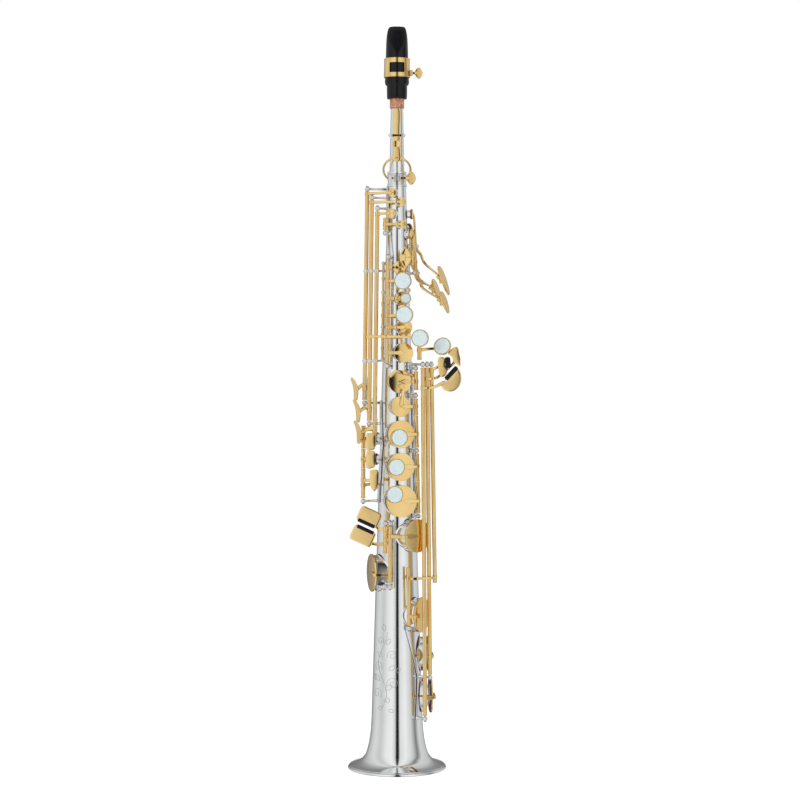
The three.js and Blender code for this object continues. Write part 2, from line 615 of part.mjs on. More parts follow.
// Right-hand levers on the left of the body, with small cups at the back.
function rightHandKey(name, high, low, z, touchX, touchZ, halfHigh) {
  const hinge = LINES.rightHand;
  const centre = v(touchX, -25, touchZ);
  cupKey(name, hinge, high, low, z, {
    travel: 8,
    parts: [
      bar(hinge.at(touchZ), v(touchX - 1, -24.2, touchZ), 3, 2, v(1, 0, 0)),
      solid(new THREE.BoxGeometry(8, 1.6, 2 * halfHigh).translate(centre.x, centre.y, centre.z)),
    ],
  });
}
rightHandKey("high_f_sharp_key", 320, 299, 308, -24, 306.2, 7.6);
rightHandKey("chromatic_f_sharp_key", 298.6, 280.4, 288, -24, 289.6, 7.6);
rightHandKey("high_g_key", 280, 252.9, 265, -21, 270, 10);

cupKey("body_octave_key", LINES.bodyOctave, 512, 500.7, 506, { travel: 8 });

// Palm keys: levers up and down the right of the body, hinged across it.
const PALM_RIM = 7.6; // hinge height above the body
function palmKey(name, hingeZ, elbow, touch, long, halfLong) {
  const hole = HOLES[name];
  const pivot = onBody(hole.azimuth, hingeZ, PALM_RIM);
  const across = tangent(hole.azimuth);
  const shoulder = hole.crown.clone().setZ(hole.z - hole.cup - 2).addScaledVector(hole.n, 1);
  const tip = hole.crown.clone().addScaledVector(hole.n, 0.3);
  const face = v(0.85, -0.42, 0.3).normalize();
  key(name, {
    pivot,
    axis: across,
    opens: { at: hole.seat, towards: hole.n },
    travel: 6,
    parts: [
      rod(pivot.clone().addScaledVector(across, -2.9), pivot.clone().addScaledVector(across, 2.9),
        TUBE_RADIUS, 10),
      cup(hole),
      bar(tip, shoulder, 3.2, 1.6, hole.n),
      bar(shoulder, pivot, 3.2, 1.8, hole.n),
      bar(pivot, elbow, 3.2, 1.8, hole.n),
      bar(elbow, touch, 3.4, 1.8, v(0.3, 0, 1).normalize()),
      oval(touch, long, face, halfLong, 5.2, 1.6, 14),
    ],
  });
  return [-1, 1].map((side) => pivot.clone().addScaledVector(across, side * 5.3));
}
const palmPosts = [
  ...palmKey("palm_f_key", 486, v(25.5, 2.5, 471), v(43.4, -3.5, 454.4), v(10.6, 0, -27.5), 14.2),
  ...palmKey("palm_d_key", 461, v(24, -12.5, 447), v(44, -15.8, 434), v(7.2, 0, -20), 10.6),
  ...palmKey("palm_e_flat_key", 472, v(20, 14.5, 456), v(37, 17, 446), v(6, 0, -20), 11),
];
function palmPostNode() {
  const feet = palmPosts.map((p) => [azimuthOf(p), p.z]);
  const stands = palmPosts.map((p, i) => join(
    ball(p, 2), rod(p, onBody(feet[i][0], p.z, RIB_LIFT), 1.1, 6)));
  const ribs = [[0, 1], [2, 3], [4, 5], [3, 0], [1, 4]].map(([i, j]) =>
    surfaceBar(feet[i], feet[j]));
  return join(stands, ribs);
}
node("palm_key_posts", palmPostNode(), silver);

// Thumb octave lever, the rod that carries its motion up, and the neck's own octave key.
const THUMB_PIVOT = v(0, 22.4, 446);
key("octave_thumb_lever", {
  pivot: THUMB_PIVOT,
  axis: v(1, 0, 0),
  opens: { at: v(0, 22, 430), towards: v(0, -1, 0) },
  travel: 7,
  parts: [
    rod(v(-3, 22.4, 446), v(8, 22.4, 446), TUBE_RADIUS, 10),
    bar(v(3, 22.4, 446), v(3, 22.8, 432), 4, 1.8, v(0, 1, 0)),
    oval(v(3, 22.8, 428), v(0, 0, 1), v(0, 1, 0), 9, 6, 1.8, 14),
    bar(v(-1.6, 22.4, 446), v(-3.4, 21.6, 454), 3, 1.8, v(0, 1, 0)),
  ],
});
key("octave_rod", {
  pivot: LINES.octaveRod.at(530),
  axis: LINES.octaveRod.axis,
  opens: { at: v(3, 14.5, 530), towards: v(0, 1, 0) },
  travel: 10,
  parts: [
    tube(LINES.octaveRod, 534, 449.6),
    arm([LINES.octaveRod.at(531), v(1.5, 16.4, 531)], v(0, 1, 0), 2.6),
    rod(v(1.5, 16.4, 530), v(1.5, 16.4, 548), 1.1, 8),
  ],
});
posts("octave_posts",
  [LINES.octaveRod.at(536.7), LINES.octaveRod.at(446.9), v(-5.6, 22.4, 446), v(10.6, 22.4, 446)],
  [[0, 1], [1, 2], [2, 3]]);

// ---- Neck ----

const NECK_TOP = 624;
const neckRadius = (z) => 6.9 - (z - 553) * 0.0195;
node("neck_cork", turned([[5.6, 613.6], [6.7, 613.6], [6.5, NECK_TOP], [5.3, NECK_TOP],
  [5.6, 613.6]], v(0, 0, 0), v(0, 0, 1), 24), cork);

const NECK_HINGE = v(0, -9.3, 588);
const OCTAVE_VENT_Z = 608;
function neckOctaveKey() {
  const lift = -9.6;
  const ring = new THREE.TorusGeometry(1, 0.09, 6, 20);
  ring.scale(12.6, 14.6, 12.6);
  ring.rotateX(radians(-44));
  ring.translate(0, 1.2, 557.2);
  return join(
    rod(v(-4.2, NECK_HINGE.y, NECK_HINGE.z), v(4.2, NECK_HINGE.y, NECK_HINGE.z), 1.5, 10),
    turned([[0, 0], [3.8, 0], [3.8, 1.6], [2.4, 2.2], [0, 2.3]], v(0, -7.1, OCTAVE_VENT_Z),
      FRONT, 14),
    bar(v(0, lift, OCTAVE_VENT_Z), v(0, lift, 574), 2.8, 1.5, FRONT),
    turned([[0, 0], [4.2, 0], [4.2, 1.2], [0, 1.6]], v(0, lift + 0.6, 580), FRONT, 14),
    bar(v(0, lift, 575), v(0, -9.6, 567), 6, 1.6, FRONT),
    solid(ring),
  );
}
const neckOctave = node("neck_octave_key", neckOctaveKey(), gold);
KEYS[neckOctave.name] = {
  pivot: NECK_HINGE, axis: v(1, 0, 0), sign: 1, rest: 0, travel: 3, pearls: [],
};
const neckProfile = [
  [5.6, 529], [7.15, 529], [7.15, 552.8], [8.8, 553], [8.8, 555], [neckRadius(556), 556],
  [neckRadius(613), 613], [5.3, 613.3], [4.9, NECK_TOP], [3.9, NECK_TOP], [5.6, 529],
];
function neckTube() {
  const { y, z } = NECK_HINGE;
  const saddle = solid(new THREE.BoxGeometry(14.4, 2.5, 4).translate(0, -6.2, z));
  const ears = [-6.2, 6.2].map((x) =>
    join(ball(v(x, y, z), 1.6), rod(v(x, y, z), v(x, -6, z), 1, 8)));
  const bore = rod(v(0, 0, z - 8), v(0, 0, z + 8), 5.6, 16);
  return join(turned(neckProfile, v(0, 0, 0), v(0, 0, 1), 16),
    join(saddle, ears).subtract(bore));
}
node("neck_tube", neckTube(), silver);

// ---- Mouthpiece, reed and ligature ----

const TIP = 690;
const SHANK_BOTTOM = 623.6 - 9.2;
const TABLE_LEVEL = 6.8; // how far behind the bore's axis the reed's flat table is
function mouthpiece() {
  const blank = turned([
    [0, SHANK_BOTTOM + 8], [9.3, SHANK_BOTTOM + 8.2], [9.4, 634.5], [11.2, 637], [11, 641],
    [10.4, 659], [9.9, 676], [8.9, 684], [7.4, 688.4], [5, 689.8], [0, TIP],
  ], v(0, 0, 0), v(0, 0, 1), 24);
  const shank = rod(v(0, 0, 622), v(0, 0, SHANK_BOTTOM + 20), 7.1, 24);
  const bore = rod(v(0, 0, 630), v(0, 0, 668), 5, 16);
  const beak = solid(new THREE.BoxGeometry(40, 16, 64).rotateX(radians(-14))
    .translate(0, -14.2, 690));
  const table = solid(new THREE.BoxGeometry(40, 10, 90).translate(0, TABLE_LEVEL + 5, 684));
  const windowCut = solid(new THREE.BoxGeometry(9.6, 7, 30).translate(0, 4.5, 668));
  return blank.subtract(shank).subtract(bore).subtract(beak).subtract(table).subtract(windowCut);
}
node("mouthpiece", mouthpiece(), ebonite);

function reed() {
  const heel = 641;
  const blank = new THREE.Shape();
  blank.moveTo(-5.2, heel);
  blank.lineTo(5.2, heel);
  blank.lineTo(6.2, TIP - 5);
  blank.quadraticCurveTo(4.2, TIP - 0.8, 0, TIP - 0.6);
  blank.quadraticCurveTo(-4.2, TIP - 0.8, -6.2, TIP - 5);
  const slab = solid(new THREE.ExtrudeGeometry(blank, {
    depth: 2.2, bevelEnabled: false, curveSegments: 6,
  }).rotateX(Math.PI / 2));
  const placed = slab.translate([0, TABLE_LEVEL + 2.4, 0]);
  const scrape = solid(new THREE.BoxGeometry(30, 8, 50).rotateX(radians(-3.2))
    .translate(0, 12.9, 688));
  return placed.subtract(scrape);
}
node("reed", reed(), cane);

const LIGATURE = { bottom: 642, top: 659.6, inside: 11.4, outside: 12.2 };
function ligature() {
  const { bottom, top, inside, outside } = LIGATURE;
  const band = turned([[inside, bottom], [outside, bottom], [outside - 0.4, top],
    [inside - 0.4, top], [inside, bottom]], v(0, 0, 0), v(0, 0, 1), 20);
  const face = solid(new THREE.BoxGeometry(13.6, 12, 9.6).translate(0, -13, 650.6));
  const sides = [-1, 1].map((side) =>
    solid(new THREE.BoxGeometry(8, 8, 9.6).translate(13.6 * side, 2.4, 650.6)));
  const lug = rod(v(11.9, -3, 646), v(14.6, -3, 646), 2.6, 10);
  return join(band, lug).subtract(face).subtract(sides[0]).subtract(sides[1])
    .subtract(rod(v(10, -3, 646), v(16, -3, 646), 1.5, 10));
}
node("ligature", ligature(), gold);
node("ligature_screw", thumbScrew(v(12, -3, 646), v(16.4, -3, 646), v(17.2, -3, 646),
  1.1, 5, 3.6), gold);

// ---- Fittings for the hands ----

const HOOK_Z = 300;
function thumbHook() {
  const y = bodyRadius(HOOK_Z);
  return join(
    bar(v(0, y + 1.3, HOOK_Z - 14), v(0, y + 0.8, HOOK_Z + 8), 9, 1.6, v(0, 1, 0)),
    bar(v(0, y + 0.8, HOOK_Z + 6), v(0, y + 15, HOOK_Z + 4), 13, 2, v(0, 0, 1)),
    bar(v(0, y + 14.6, HOOK_Z + 4.8), v(0, y + 18, HOOK_Z - 5), 13, 2, v(0, 1, 0)),
  );
}
node("thumb_hook", thumbHook(), gold);

const RING_Z = 372;
function strapRing() {
  const y = bodyRadius(RING_Z);
  const ring = new THREE.TorusGeometry(5.6, 1.2, 6, 16);
  ring.rotateY(Math.PI / 2).translate(0, y + 7.6, RING_Z);
  return join(
    bar(v(0, y + 1, RING_Z - 9), v(0, y + 0.9, RING_Z + 9), 7, 1.2, v(0, 1, 0)),
    solid(ring));
}
node("strap_ring", strapRing(), silver);

function thumbRest() {
  const y = bodyRadius(418) + 0.7;
  return turned([[0, 0], [7.2, 0], [7.2, 1.6], [5.4, 2.6], [0, 3]], v(-1, y, 413),
    v(0, 1, 0), 16);
}
node("thumb_rest", thumbRest(), gold);

root.userData.keys = KEYS;
root.userData.radii = { receiver: RECEIVER_BORE };

export default root;
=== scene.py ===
"""A straight soprano saxophone standing on its bell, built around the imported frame.

Lengths in this script are millimetres and become metres where a mesh is made. +Z runs up the
bore from the bell's rim, and the front, with the finger stacks, faces -Y. Azimuths are degrees
from the front towards +X.
"""

import json
import math

import bmesh
import bpy
from mathutils import Matrix, Vector


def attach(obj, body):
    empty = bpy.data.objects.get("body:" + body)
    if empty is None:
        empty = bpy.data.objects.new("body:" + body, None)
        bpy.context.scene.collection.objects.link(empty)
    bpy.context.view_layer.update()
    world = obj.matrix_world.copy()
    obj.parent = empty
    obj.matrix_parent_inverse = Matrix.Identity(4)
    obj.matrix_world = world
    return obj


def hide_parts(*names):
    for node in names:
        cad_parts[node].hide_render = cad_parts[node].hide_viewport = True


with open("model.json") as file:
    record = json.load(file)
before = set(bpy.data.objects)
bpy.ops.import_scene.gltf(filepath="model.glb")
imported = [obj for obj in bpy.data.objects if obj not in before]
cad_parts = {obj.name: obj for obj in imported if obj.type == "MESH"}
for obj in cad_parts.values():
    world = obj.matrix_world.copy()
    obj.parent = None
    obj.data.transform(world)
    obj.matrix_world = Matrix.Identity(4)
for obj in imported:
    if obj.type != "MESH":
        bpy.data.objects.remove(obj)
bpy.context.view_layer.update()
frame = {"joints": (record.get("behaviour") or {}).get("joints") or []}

MM = 0.001
TAU = 2 * math.pi
UP = Vector((0, 0, 1))
FRONT = Vector((0, -1, 0))
BACK = Vector((0, 1, 0))
RIGHT = Vector((1, 0, 0))


def v(x, y, z):
    return Vector((x, y, z))


# ---------------------------------------------------------------- shapes


class Shape:
    """Vertices and faces. Shapes add up to one shape."""

    def __init__(self, verts=(), faces=()):
        self.verts = list(verts)
        self.faces = list(faces)

    def __add__(self, other):
        base = len(self.verts)
        shifted = [tuple(i + base for i in face) for face in other.faces]
        return Shape(self.verts + other.verts, self.faces + shifted)

    def moved(self, matrix):
        return Shape([matrix @ p for p in self.verts], self.faces)


def total(shapes):
    result = Shape()
    for shape in shapes:
        result = result + shape
    return result


def soften(points, radius, steps=4):
    """The polyline with its inner corners rounded. A closed one rounds all of them."""
    closed = points[0] == points[-1]
    pts = [Vector(p) for p in (points[:-1] if closed else points)]
    rounded = [] if closed else [pts[0]]
    for i in range(0 if closed else 1, len(pts) if closed else len(pts) - 1):
        before, corner, after = pts[i - 1], pts[i], pts[(i + 1) % len(pts)]
        reach_in = min(radius, (before - corner).length * 0.49)
        reach_out = min(radius, (after - corner).length * 0.49)
        start = corner + (before - corner).normalized() * reach_in
        end = corner + (after - corner).normalized() * reach_out
        for k in range(steps + 1):
            t = k / steps
            rounded.append(start * (1 - t) ** 2 + corner * 2 * t * (1 - t) + end * t * t)
    rounded.append(rounded[0] if closed else pts[-1])
    return rounded


def grid(rows, wrap_rows=False, wrap_columns=True):
    """A skin over rows of points. A row of one point is a pole."""
    verts, index = [], []
    for row in rows:
        index.append(range(len(verts), len(verts) + len(row)))
        verts += row
    faces = []
    pairs = list(zip(index, index[1:]))
    if wrap_rows:
        pairs.append((index[-1], index[0]))
    for low, high in pairs:
        count = max(len(low), len(high))
        for i in range(count if wrap_columns else count - 1):
            j = (i + 1) % count
            if len(low) == 1:
                faces.append((low[0], high[j], high[i]))
            elif len(high) == 1:
                faces.append((low[i], low[j], high[0]))
            else:
                faces.append((low[i], low[j], high[j], high[i]))
    return Shape(verts, faces)


def capped(rows):
    """The rows with a point at each end that closes the skin."""
    return [[sum(rows[0], Vector()) / len(rows[0])], *rows,
            [sum(rows[-1], Vector()) / len(rows[-1])]]


def lathe(profile, base=(0, 0, 0), axis=UP, sides=40):
    """A turned shape. The profile is [radius, height] pairs, from `base` along `axis`."""
    points = [tuple(p)[:2] for p in profile]
    closed = points[0] == points[-1]
    if closed:
        points = points[:-1]
    turn = Vector(axis).to_track_quat("Z", "Y").to_matrix()
    base = Vector(base)
    rows = []
    for radius, height in points:
        if radius < 1e-6:
            rows.append([base + turn @ v(0, 0, height)])
            continue
        ring = [TAU * i / sides for i in range(sides)]
        rows.append([
            base + turn @ v(radius * math.cos(a), radius * math.sin(a), height) for a in ring
        ])
    return grid(rows, wrap_rows=closed)


def rod(a, b, radius, sides=20, end_radius=None, edge=0.18):
    """A round bar from a to b with eased ends."""
    a, b = Vector(a), Vector(b)
    end_radius = radius if end_radius is None else end_radius
    length = (b - a).length
    edge = min(edge, radius * 0.5, end_radius * 0.5)
    return lathe([
        (0, 0), (radius - edge, 0), (radius, edge), (end_radius, length - edge),
        (end_radius - edge, length), (0, length),
    ], a, b - a, sides)


def ball(centre, radius):
    angles = [math.pi * k / 12 for k in range(13)]
    return lathe(
        [(radius * math.sin(a), -radius * math.cos(a)) for a in angles], centre, UP, 24)


def smooth_path(points, steps, closed=False):
    """Catmull-Rom through the points."""
    pts = [Vector(p) for p in points]
    count = len(pts)
    out = []
    for i in range(count if closed else count - 1):
        p0 = pts[i - 1] if closed or i else pts[0] * 2 - pts[1]
        p1, p2 = pts[i], pts[(i + 1) % count]
        p3 = pts[(i + 2) % count] if closed or i + 2 < count else p2 * 2 - p1
        for k in range(steps):
            t = k / steps
            out.append(0.5 * (
                2 * p1 + (p2 - p0) * t + (2 * p0 - 5 * p1 + 4 * p2 - p3) * t * t
                + (3 * p1 - p0 - 3 * p2 + p3) * t ** 3
            ))
    if not closed:
        out.append(pts[-1])
    return out


def sweep(points, width, thickness, up, steps=7, squareness=0.55, nose=True):
    """A bar bent smoothly through the points: `width` across, `thickness` along `up`.

    Width and thickness may be lists with a value for each point.
    """
    count = len(points)
    widths = width if isinstance(width, (list, tuple)) else [width] * count
    depths = thickness if isinstance(thickness, (list, tuple)) else [thickness] * count
    sizes = smooth_path([(w, d, 0) for w, d in zip(widths, depths)], steps)
    path = smooth_path(points, steps)
    ups = [Vector(u) for u in up] if isinstance(up, list) else [Vector(up)] * count
    upwards = smooth_path(ups, steps)
    section = []
    for k in range(16):
        a = TAU * (k + 0.5) / 16
        c, s = math.cos(a), math.sin(a)
        section.append((
            math.copysign(abs(c) ** squareness, c) / 2, math.copysign(abs(s) ** squareness, s) / 2,
        ))
    rows = []
    last = len(path) - 1
    for i, centre in enumerate(path):
        along = (path[min(i + 1, last)] - path[max(i - 1, 0)]).normalized()
        side = along.cross(upwards[i]).normalized()
        lift = side.cross(along)
        w, d = max(sizes[i].x, 0.3), max(sizes[i].y, 0.3)
        ends = []
        if nose and i in (0, last):
            ends = [(0.96, 0.14), (0.80, 0.3), (0.5, 0.43)]
        ring = [centre + side * (x * w) + lift * (y * d) for x, y in section]
        outward = along * (-1 if i == 0 else 1)
        caps = [
            [centre + outward * (w * out) + side * (x * w * s) + lift * (y * d * (0.3 + 0.7 * s))
             for x, y in section] for s, out in ends
        ]
        tip = [centre + outward * (w * 0.47 if nose else 0)]
        if i == 0:
            rows += [tip] + caps[::-1]
        rows.append(ring)
        if i == last:
            rows += caps + [tip]
    return grid(rows)


def plate(outline, thickness, place, edge=0.5, dome=0.0, steps=6, dish=0.0):
    """A plate with eased edges from a closed outline, laid out by the matrix `place`."""
    path = smooth_path([(x, y, 0) for x, y in outline], steps, closed=True) if steps else [
        v(x, y, 0) for x, y in outline]
    middle = sum(path, Vector()) / len(path)
    reach = max((p - middle).length for p in path)

    def ring(inset, height):
        return [middle + (p - middle) * (1 - inset / reach) + UP * height for p in path]

    half = thickness / 2
    rows = [[middle - UP * half]]
    for share in (0.35, 0.7):
        rows.append(ring(reach * (1 - share), -half))
    rows += [ring(edge, -half), ring(edge * 0.3, -half + edge * 0.3), ring(0, -half + edge)]
    rows += [ring(0, half - edge), ring(edge * 0.3, half - edge * 0.3), ring(edge, half)]
    for share in (0.85, 0.65, 0.4, 0.2):
        rows.append(ring(reach * (1 - share), half + (dome - dish) * (1 - share * share)))
    rows.append([middle + UP * (half + dome - dish)])
    return grid(rows).moved(place)


def facing(centre, normal, long=None):
    """A matrix that lays +Z along the normal and, if given, +X as near `long` as it can."""
    z = Vector(normal).normalized()
    x = Vector(long) if long else (RIGHT if abs(z.x) < 0.9 else UP)
    x = (x - z * x.dot(z)).normalized()
    y = z.cross(x)
    turn = Matrix((x, y, z)).transposed().to_4x4()
    return Matrix.Translation(Vector(centre)) @ turn


def ellipse(a, b, count=16):
    return [(a * math.cos(TAU * i / count), b * math.sin(TAU * i / count)) for i in range(count)]


def slotted_head(centre, axis, radius, height=0.9):
    """A screw's head: a low dome with a slot across it."""
    turn = facing(centre, axis)
    width = radius * 0.28
    shapes = []
    for side in (-1, 1):
        arc = [math.pi * k / 12 for k in range(13)]
        offset = math.asin(width / 2 / radius)
        outline = [
            (radius * math.cos(offset + (math.pi - 2 * offset) * a / math.pi),
             radius * math.sin(offset + (math.pi - 2 * offset) * a / math.pi) * side)
            for a in arc
        ]
        shapes.append(plate(outline, height, turn, edge=0.12, steps=0))
    base = lathe([(0, -height / 2), (radius, -height / 2), (radius, 0), (0, 0)],
                 turn.translation, axis, 24)
    return total(shapes) + base


# ---------------------------------------------------------------- materials


def material(name, color, roughness, metallic=0.0, **extra):
    made = bpy.data.materials.new(name)
    made.use_nodes = True
    shader = made.node_tree.nodes["Principled BSDF"]
    shader.inputs["Base Color"].default_value = (*color, 1)
    shader.inputs["Roughness"].default_value = roughness
    shader.inputs["Metallic"].default_value = metallic
    for key, value in extra.items():
        shader.inputs[key.replace("_", " ")].default_value = value
    made.diffuse_color = (*color, 1)
    return made


class Graph:
    """Short names for adding nodes to a material."""

    def __init__(self, made):
        self.nodes = made.node_tree.nodes
        self.links = made.node_tree.links
        self.shader = self.nodes["Principled BSDF"]
        self.place = self.nodes.new("ShaderNodeTexCoord").outputs["Object"]

    def stretched(self, scale):
        node = self.nodes.new("ShaderNodeMapping")
        node.inputs["Scale"].default_value = scale
        self.links.new(self.place, node.inputs["Vector"])
        return node.outputs["Vector"]

    def noise(self, scale, detail=3.0, vector=None, roughness=0.5):
        node = self.nodes.new("ShaderNodeTexNoise")
        node.inputs["Scale"].default_value = scale
        node.inputs["Detail"].default_value = detail
        node.inputs["Roughness"].default_value = roughness
        self.links.new(vector or self.place, node.inputs["Vector"])
        return node.outputs["Fac"]

    def cells(self, scale):
        node = self.nodes.new("ShaderNodeTexVoronoi")
        node.inputs["Scale"].default_value = scale
        self.links.new(self.place, node.inputs["Vector"])
        return node

    def ramp(self, source, stops):
        node = self.nodes.new("ShaderNodeValToRGB")
        elements = node.color_ramp.elements
        for extra in stops[2:]:
            elements.new(extra[0])
        for element, (position, color) in zip(elements, stops):
            element.position = position
            element.color = (*color, 1)
        self.links.new(source, node.inputs["Fac"])
        return node.outputs["Color"]

    def to_range(self, source, low, high):
        node = self.nodes.new("ShaderNodeMapRange")
        node.inputs["To Min"].default_value = low
        node.inputs["To Max"].default_value = high
        self.links.new(source, node.inputs["Value"])
        return node.outputs["Result"]

    def bump(self, source, strength, distance):
        node = self.nodes.new("ShaderNodeBump")
        node.inputs["Strength"].default_value = strength
        node.inputs["Distance"].default_value = distance
        self.links.new(source, node.inputs["Height"])
        if self.shader.inputs["Normal"].links:
            self.links.new(self.shader.inputs["Normal"].links[0].from_socket,
                           node.inputs["Normal"])
        self.links.new(node.outputs["Normal"], self.shader.inputs["Normal"])

    def drive(self, socket, source):
        self.links.new(source, self.shader.inputs[socket])


def polished(name, color, worn, roughness, tint):
    """Polished metal: a clean mirror with faint haze, handling marks and colour drift."""
    made = material(name, color, roughness, 1.0)
    g = Graph(made)
    drift = g.noise(38, 2)
    g.drive("Base Color", g.ramp(drift, [(0.32, color), (0.72, tint)]))
    haze = g.noise(260, 4, roughness=0.65)
    g.drive("Roughness", g.to_range(haze, roughness * 0.75, roughness * worn))
    g.bump(g.noise(70, 1), 0.05, 0.0006)
    return made


SILVER = polished("silver_plate", (0.905, 0.915, 0.91), 1.7, 0.075, (0.86, 0.875, 0.88))
POST_SILVER = polished("post_silver", (0.87, 0.875, 0.87), 1.6, 0.12, (0.8, 0.81, 0.82))
GOLD = polished("gold_lacquer", (0.95, 0.72, 0.32), 1.8, 0.1, (0.90, 0.60, 0.23))
STEEL = polished("blued_steel", (0.42, 0.43, 0.46), 1.5, 0.2, (0.3, 0.32, 0.38))
ENGRAVED = material("engraved_line", (0.5, 0.51, 0.51), 0.42, 1.0)
line_graph = Graph(ENGRAVED)
line_graph.drive("Roughness", line_graph.to_range(line_graph.noise(900, 2), 0.3, 0.5))

EBONITE = material("black_ebonite", (0.004, 0.004, 0.005), 0.16, Specular_IOR_Level=0.28)
graph = Graph(EBONITE)
graph.drive("Roughness", graph.to_range(graph.noise(180, 4), 0.12, 0.27))
graph.bump(graph.noise(90, 2), 0.04, 0.0004)

ROLLER = material("roller_plastic", (0.005, 0.005, 0.006), 0.25, Specular_IOR_Level=0.25)
graph = Graph(ROLLER)
graph.drive("Roughness", graph.to_range(graph.noise(400, 3), 0.16, 0.3))

PEARL = material("mother_of_pearl", (0.85, 0.9, 0.92), 0.12, Coat_Weight=0.8,
                 Coat_Roughness=0.04, Subsurface_Weight=0.15)
PEARL.node_tree.nodes["Principled BSDF"].inputs["Subsurface Scale"].default_value = 0.002
graph = Graph(PEARL)
swirl = graph.noise(330, 4, graph.stretched((1, 0.6, 1.9)), 0.6)
graph.drive("Base Color", graph.ramp(swirl, [
    (0.30, (0.40, 0.53, 0.60)), (0.44, (0.68, 0.77, 0.80)), (0.55, (0.56, 0.70, 0.68)),
    (0.66, (0.76, 0.72, 0.73)), (0.78, (0.50, 0.60, 0.72)),
]))
graph.bump(graph.noise(700, 2), 0.06, 0.0002)

CORK = material("cork", (0.5, 0.24, 0.14), 0.85)
graph = Graph(CORK)
cells = graph.cells(520)
graph.drive("Base Color", graph.ramp(cells.outputs["Color"], [
    (0.1, (0.30, 0.12, 0.065)), (0.45, (0.52, 0.25, 0.15)), (0.9, (0.66, 0.36, 0.22)),
]))
graph.bump(graph.noise(900, 3), 0.4, 0.0004)

LEATHER = material("pad_leather", (0.17, 0.045, 0.03), 0.5)
graph = Graph(LEATHER)
graph.drive("Base Color", graph.ramp(graph.noise(400, 4), [
    (0.3, (0.11, 0.025, 0.018)), (0.7, (0.24, 0.07, 0.045)),
]))
graph.bump(graph.cells(1500).outputs["Distance"], 0.3, 0.0003)

CANE = material("cane", (0.78, 0.62, 0.33), 0.55)
graph = Graph(CANE)
fibre = graph.noise(900, 3, graph.stretched((1, 1, 0.03)))
graph.drive("Base Color", graph.ramp(fibre, [
    (0.3, (0.62, 0.44, 0.18)), (0.55, (0.80, 0.64, 0.34)), (0.75, (0.88, 0.75, 0.46)),
]))
graph.bump(fibre, 0.25, 0.0003)


CREASE = 38


def add_object(name, data):
    made = bpy.data.objects.new(name, data)
    bpy.context.scene.collection.objects.link(made)
    return made


def mesh_of(name, shape, weld=True):
    """The shape as a mesh in metres, with its faces turned outwards."""
    mesh = bpy.data.meshes.new(name)
    mesh.from_pydata([p * MM for p in shape.verts], [], shape.faces)
    work = bmesh.new()
    work.from_mesh(mesh)
    if weld:
        bmesh.ops.remove_doubles(work, verts=work.verts, dist=1e-7)
    bmesh.ops.recalc_face_normals(work, faces=work.faces)
    work.to_mesh(mesh)
    work.free()
    return mesh


def piece(name, shape, look, body="horn", nodes=(), crease=CREASE):
    """Makes a piece that rides on a body and stands for the CAD nodes named."""
    mesh = mesh_of(name, shape)
    mesh.shade_smooth()
    mesh.set_sharp_from_angle(angle=math.radians(crease))
    mesh.materials.append(look)
    made = add_object(name, mesh)
    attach(made, body)
    if nodes:
        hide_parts(*nodes)
    return made


# ---------------------------------------------------------------- layout, as in the CAD source

BODY_TOP = 541
BELL_TOP = 46
WALL = 1
CHIMNEY_HEIGHT = 3
PAD_GAP = 0.4
CUP_WALL = 2
CUP_DOME = 0.9
CUP_OVERHANG = 1.2
TUBE_RADIUS = 1.9
POST_BALL = 2.3
RIB_LIFT = 1
RIB_WIDTH = 4


def body_radius(z):
    return 8.4 + (BODY_TOP - 1 - z) / 32


def outward(azimuth):
    return v(math.sin(math.radians(azimuth)), -math.cos(math.radians(azimuth)), 0)


def tangent(azimuth):
    return v(math.cos(math.radians(azimuth)), math.sin(math.radians(azimuth)), 0)


def azimuth_of(p):
    return math.degrees(math.atan2(p.x, -p.y))


def on_body(azimuth, z, lift):
    p = outward(azimuth) * (body_radius(z) + lift)
    p.z = z
    return p


def at_height(p, z):
    return v(p.x, p.y, z)


class Hole:
    """A tone hole's azimuth, height and the radius of the cup over it."""

    def __init__(self, azimuth, z, cup):
        self.azimuth, self.z, self.cup = azimuth, z, cup
        self.n = outward(azimuth)
        self.t = tangent(azimuth)
        self.top = body_radius(z) + CHIMNEY_HEIGHT
        self.seat = at_height(self.n * (self.top + PAD_GAP), z)
        self.crown = at_height(self.n * (self.top + PAD_GAP + CUP_WALL + CUP_DOME), z)
        self.outer = cup - CUP_OVERHANG
        self.bore = self.outer - 1


HOLES = {
    "side_high_e_key": Hole(-18, 535, 4.3),
    "side_c_key": Hole(16, 526.5, 4.4),
    "side_b_flat_key": Hole(-24, 516, 4.5),
    "palm_f_key": Hole(100, 516, 4.7),
    "body_octave_key": Hole(18, 506, 4),
    "palm_e_flat_key": Hole(130, 503, 5),
    "palm_d_key": Hole(72, 497, 5.2),
    "b_key": Hole(8, 466, 5.8),
    "bis_key": Hole(16, 437.5, 6.4),
    "a_key": Hole(24, 411, 7.2),
    "g_key": Hole(20, 387.5, 9),
    "g_sharp_key": Hole(8, 361, 10.8),
    "f_sharp_key": Hole(6, 338, 9.5),
    "f_key": Hole(6, 312.5, 12.8),
    "e_key": Hole(5, 282.5, 13),
    "d_key": Hole(6, 251, 14.8),
    "high_f_sharp_key": Hole(-112, 308, 5.5),
    "chromatic_f_sharp_key": Hole(-112, 288, 5.5),
    "high_g_key": Hole(-112, 265, 5.5),
    "low_c_key": Hole(50, 218.5, 15.4),
    "low_e_flat_key": Hole(-76, 183, 17.6),
    "low_c_sharp_key": Hole(65, 144.5, 16.4),
    "low_b_key": Hole(104, 106, 17),
    "low_b_flat_key": Hole(104, 68, 17.4),
}


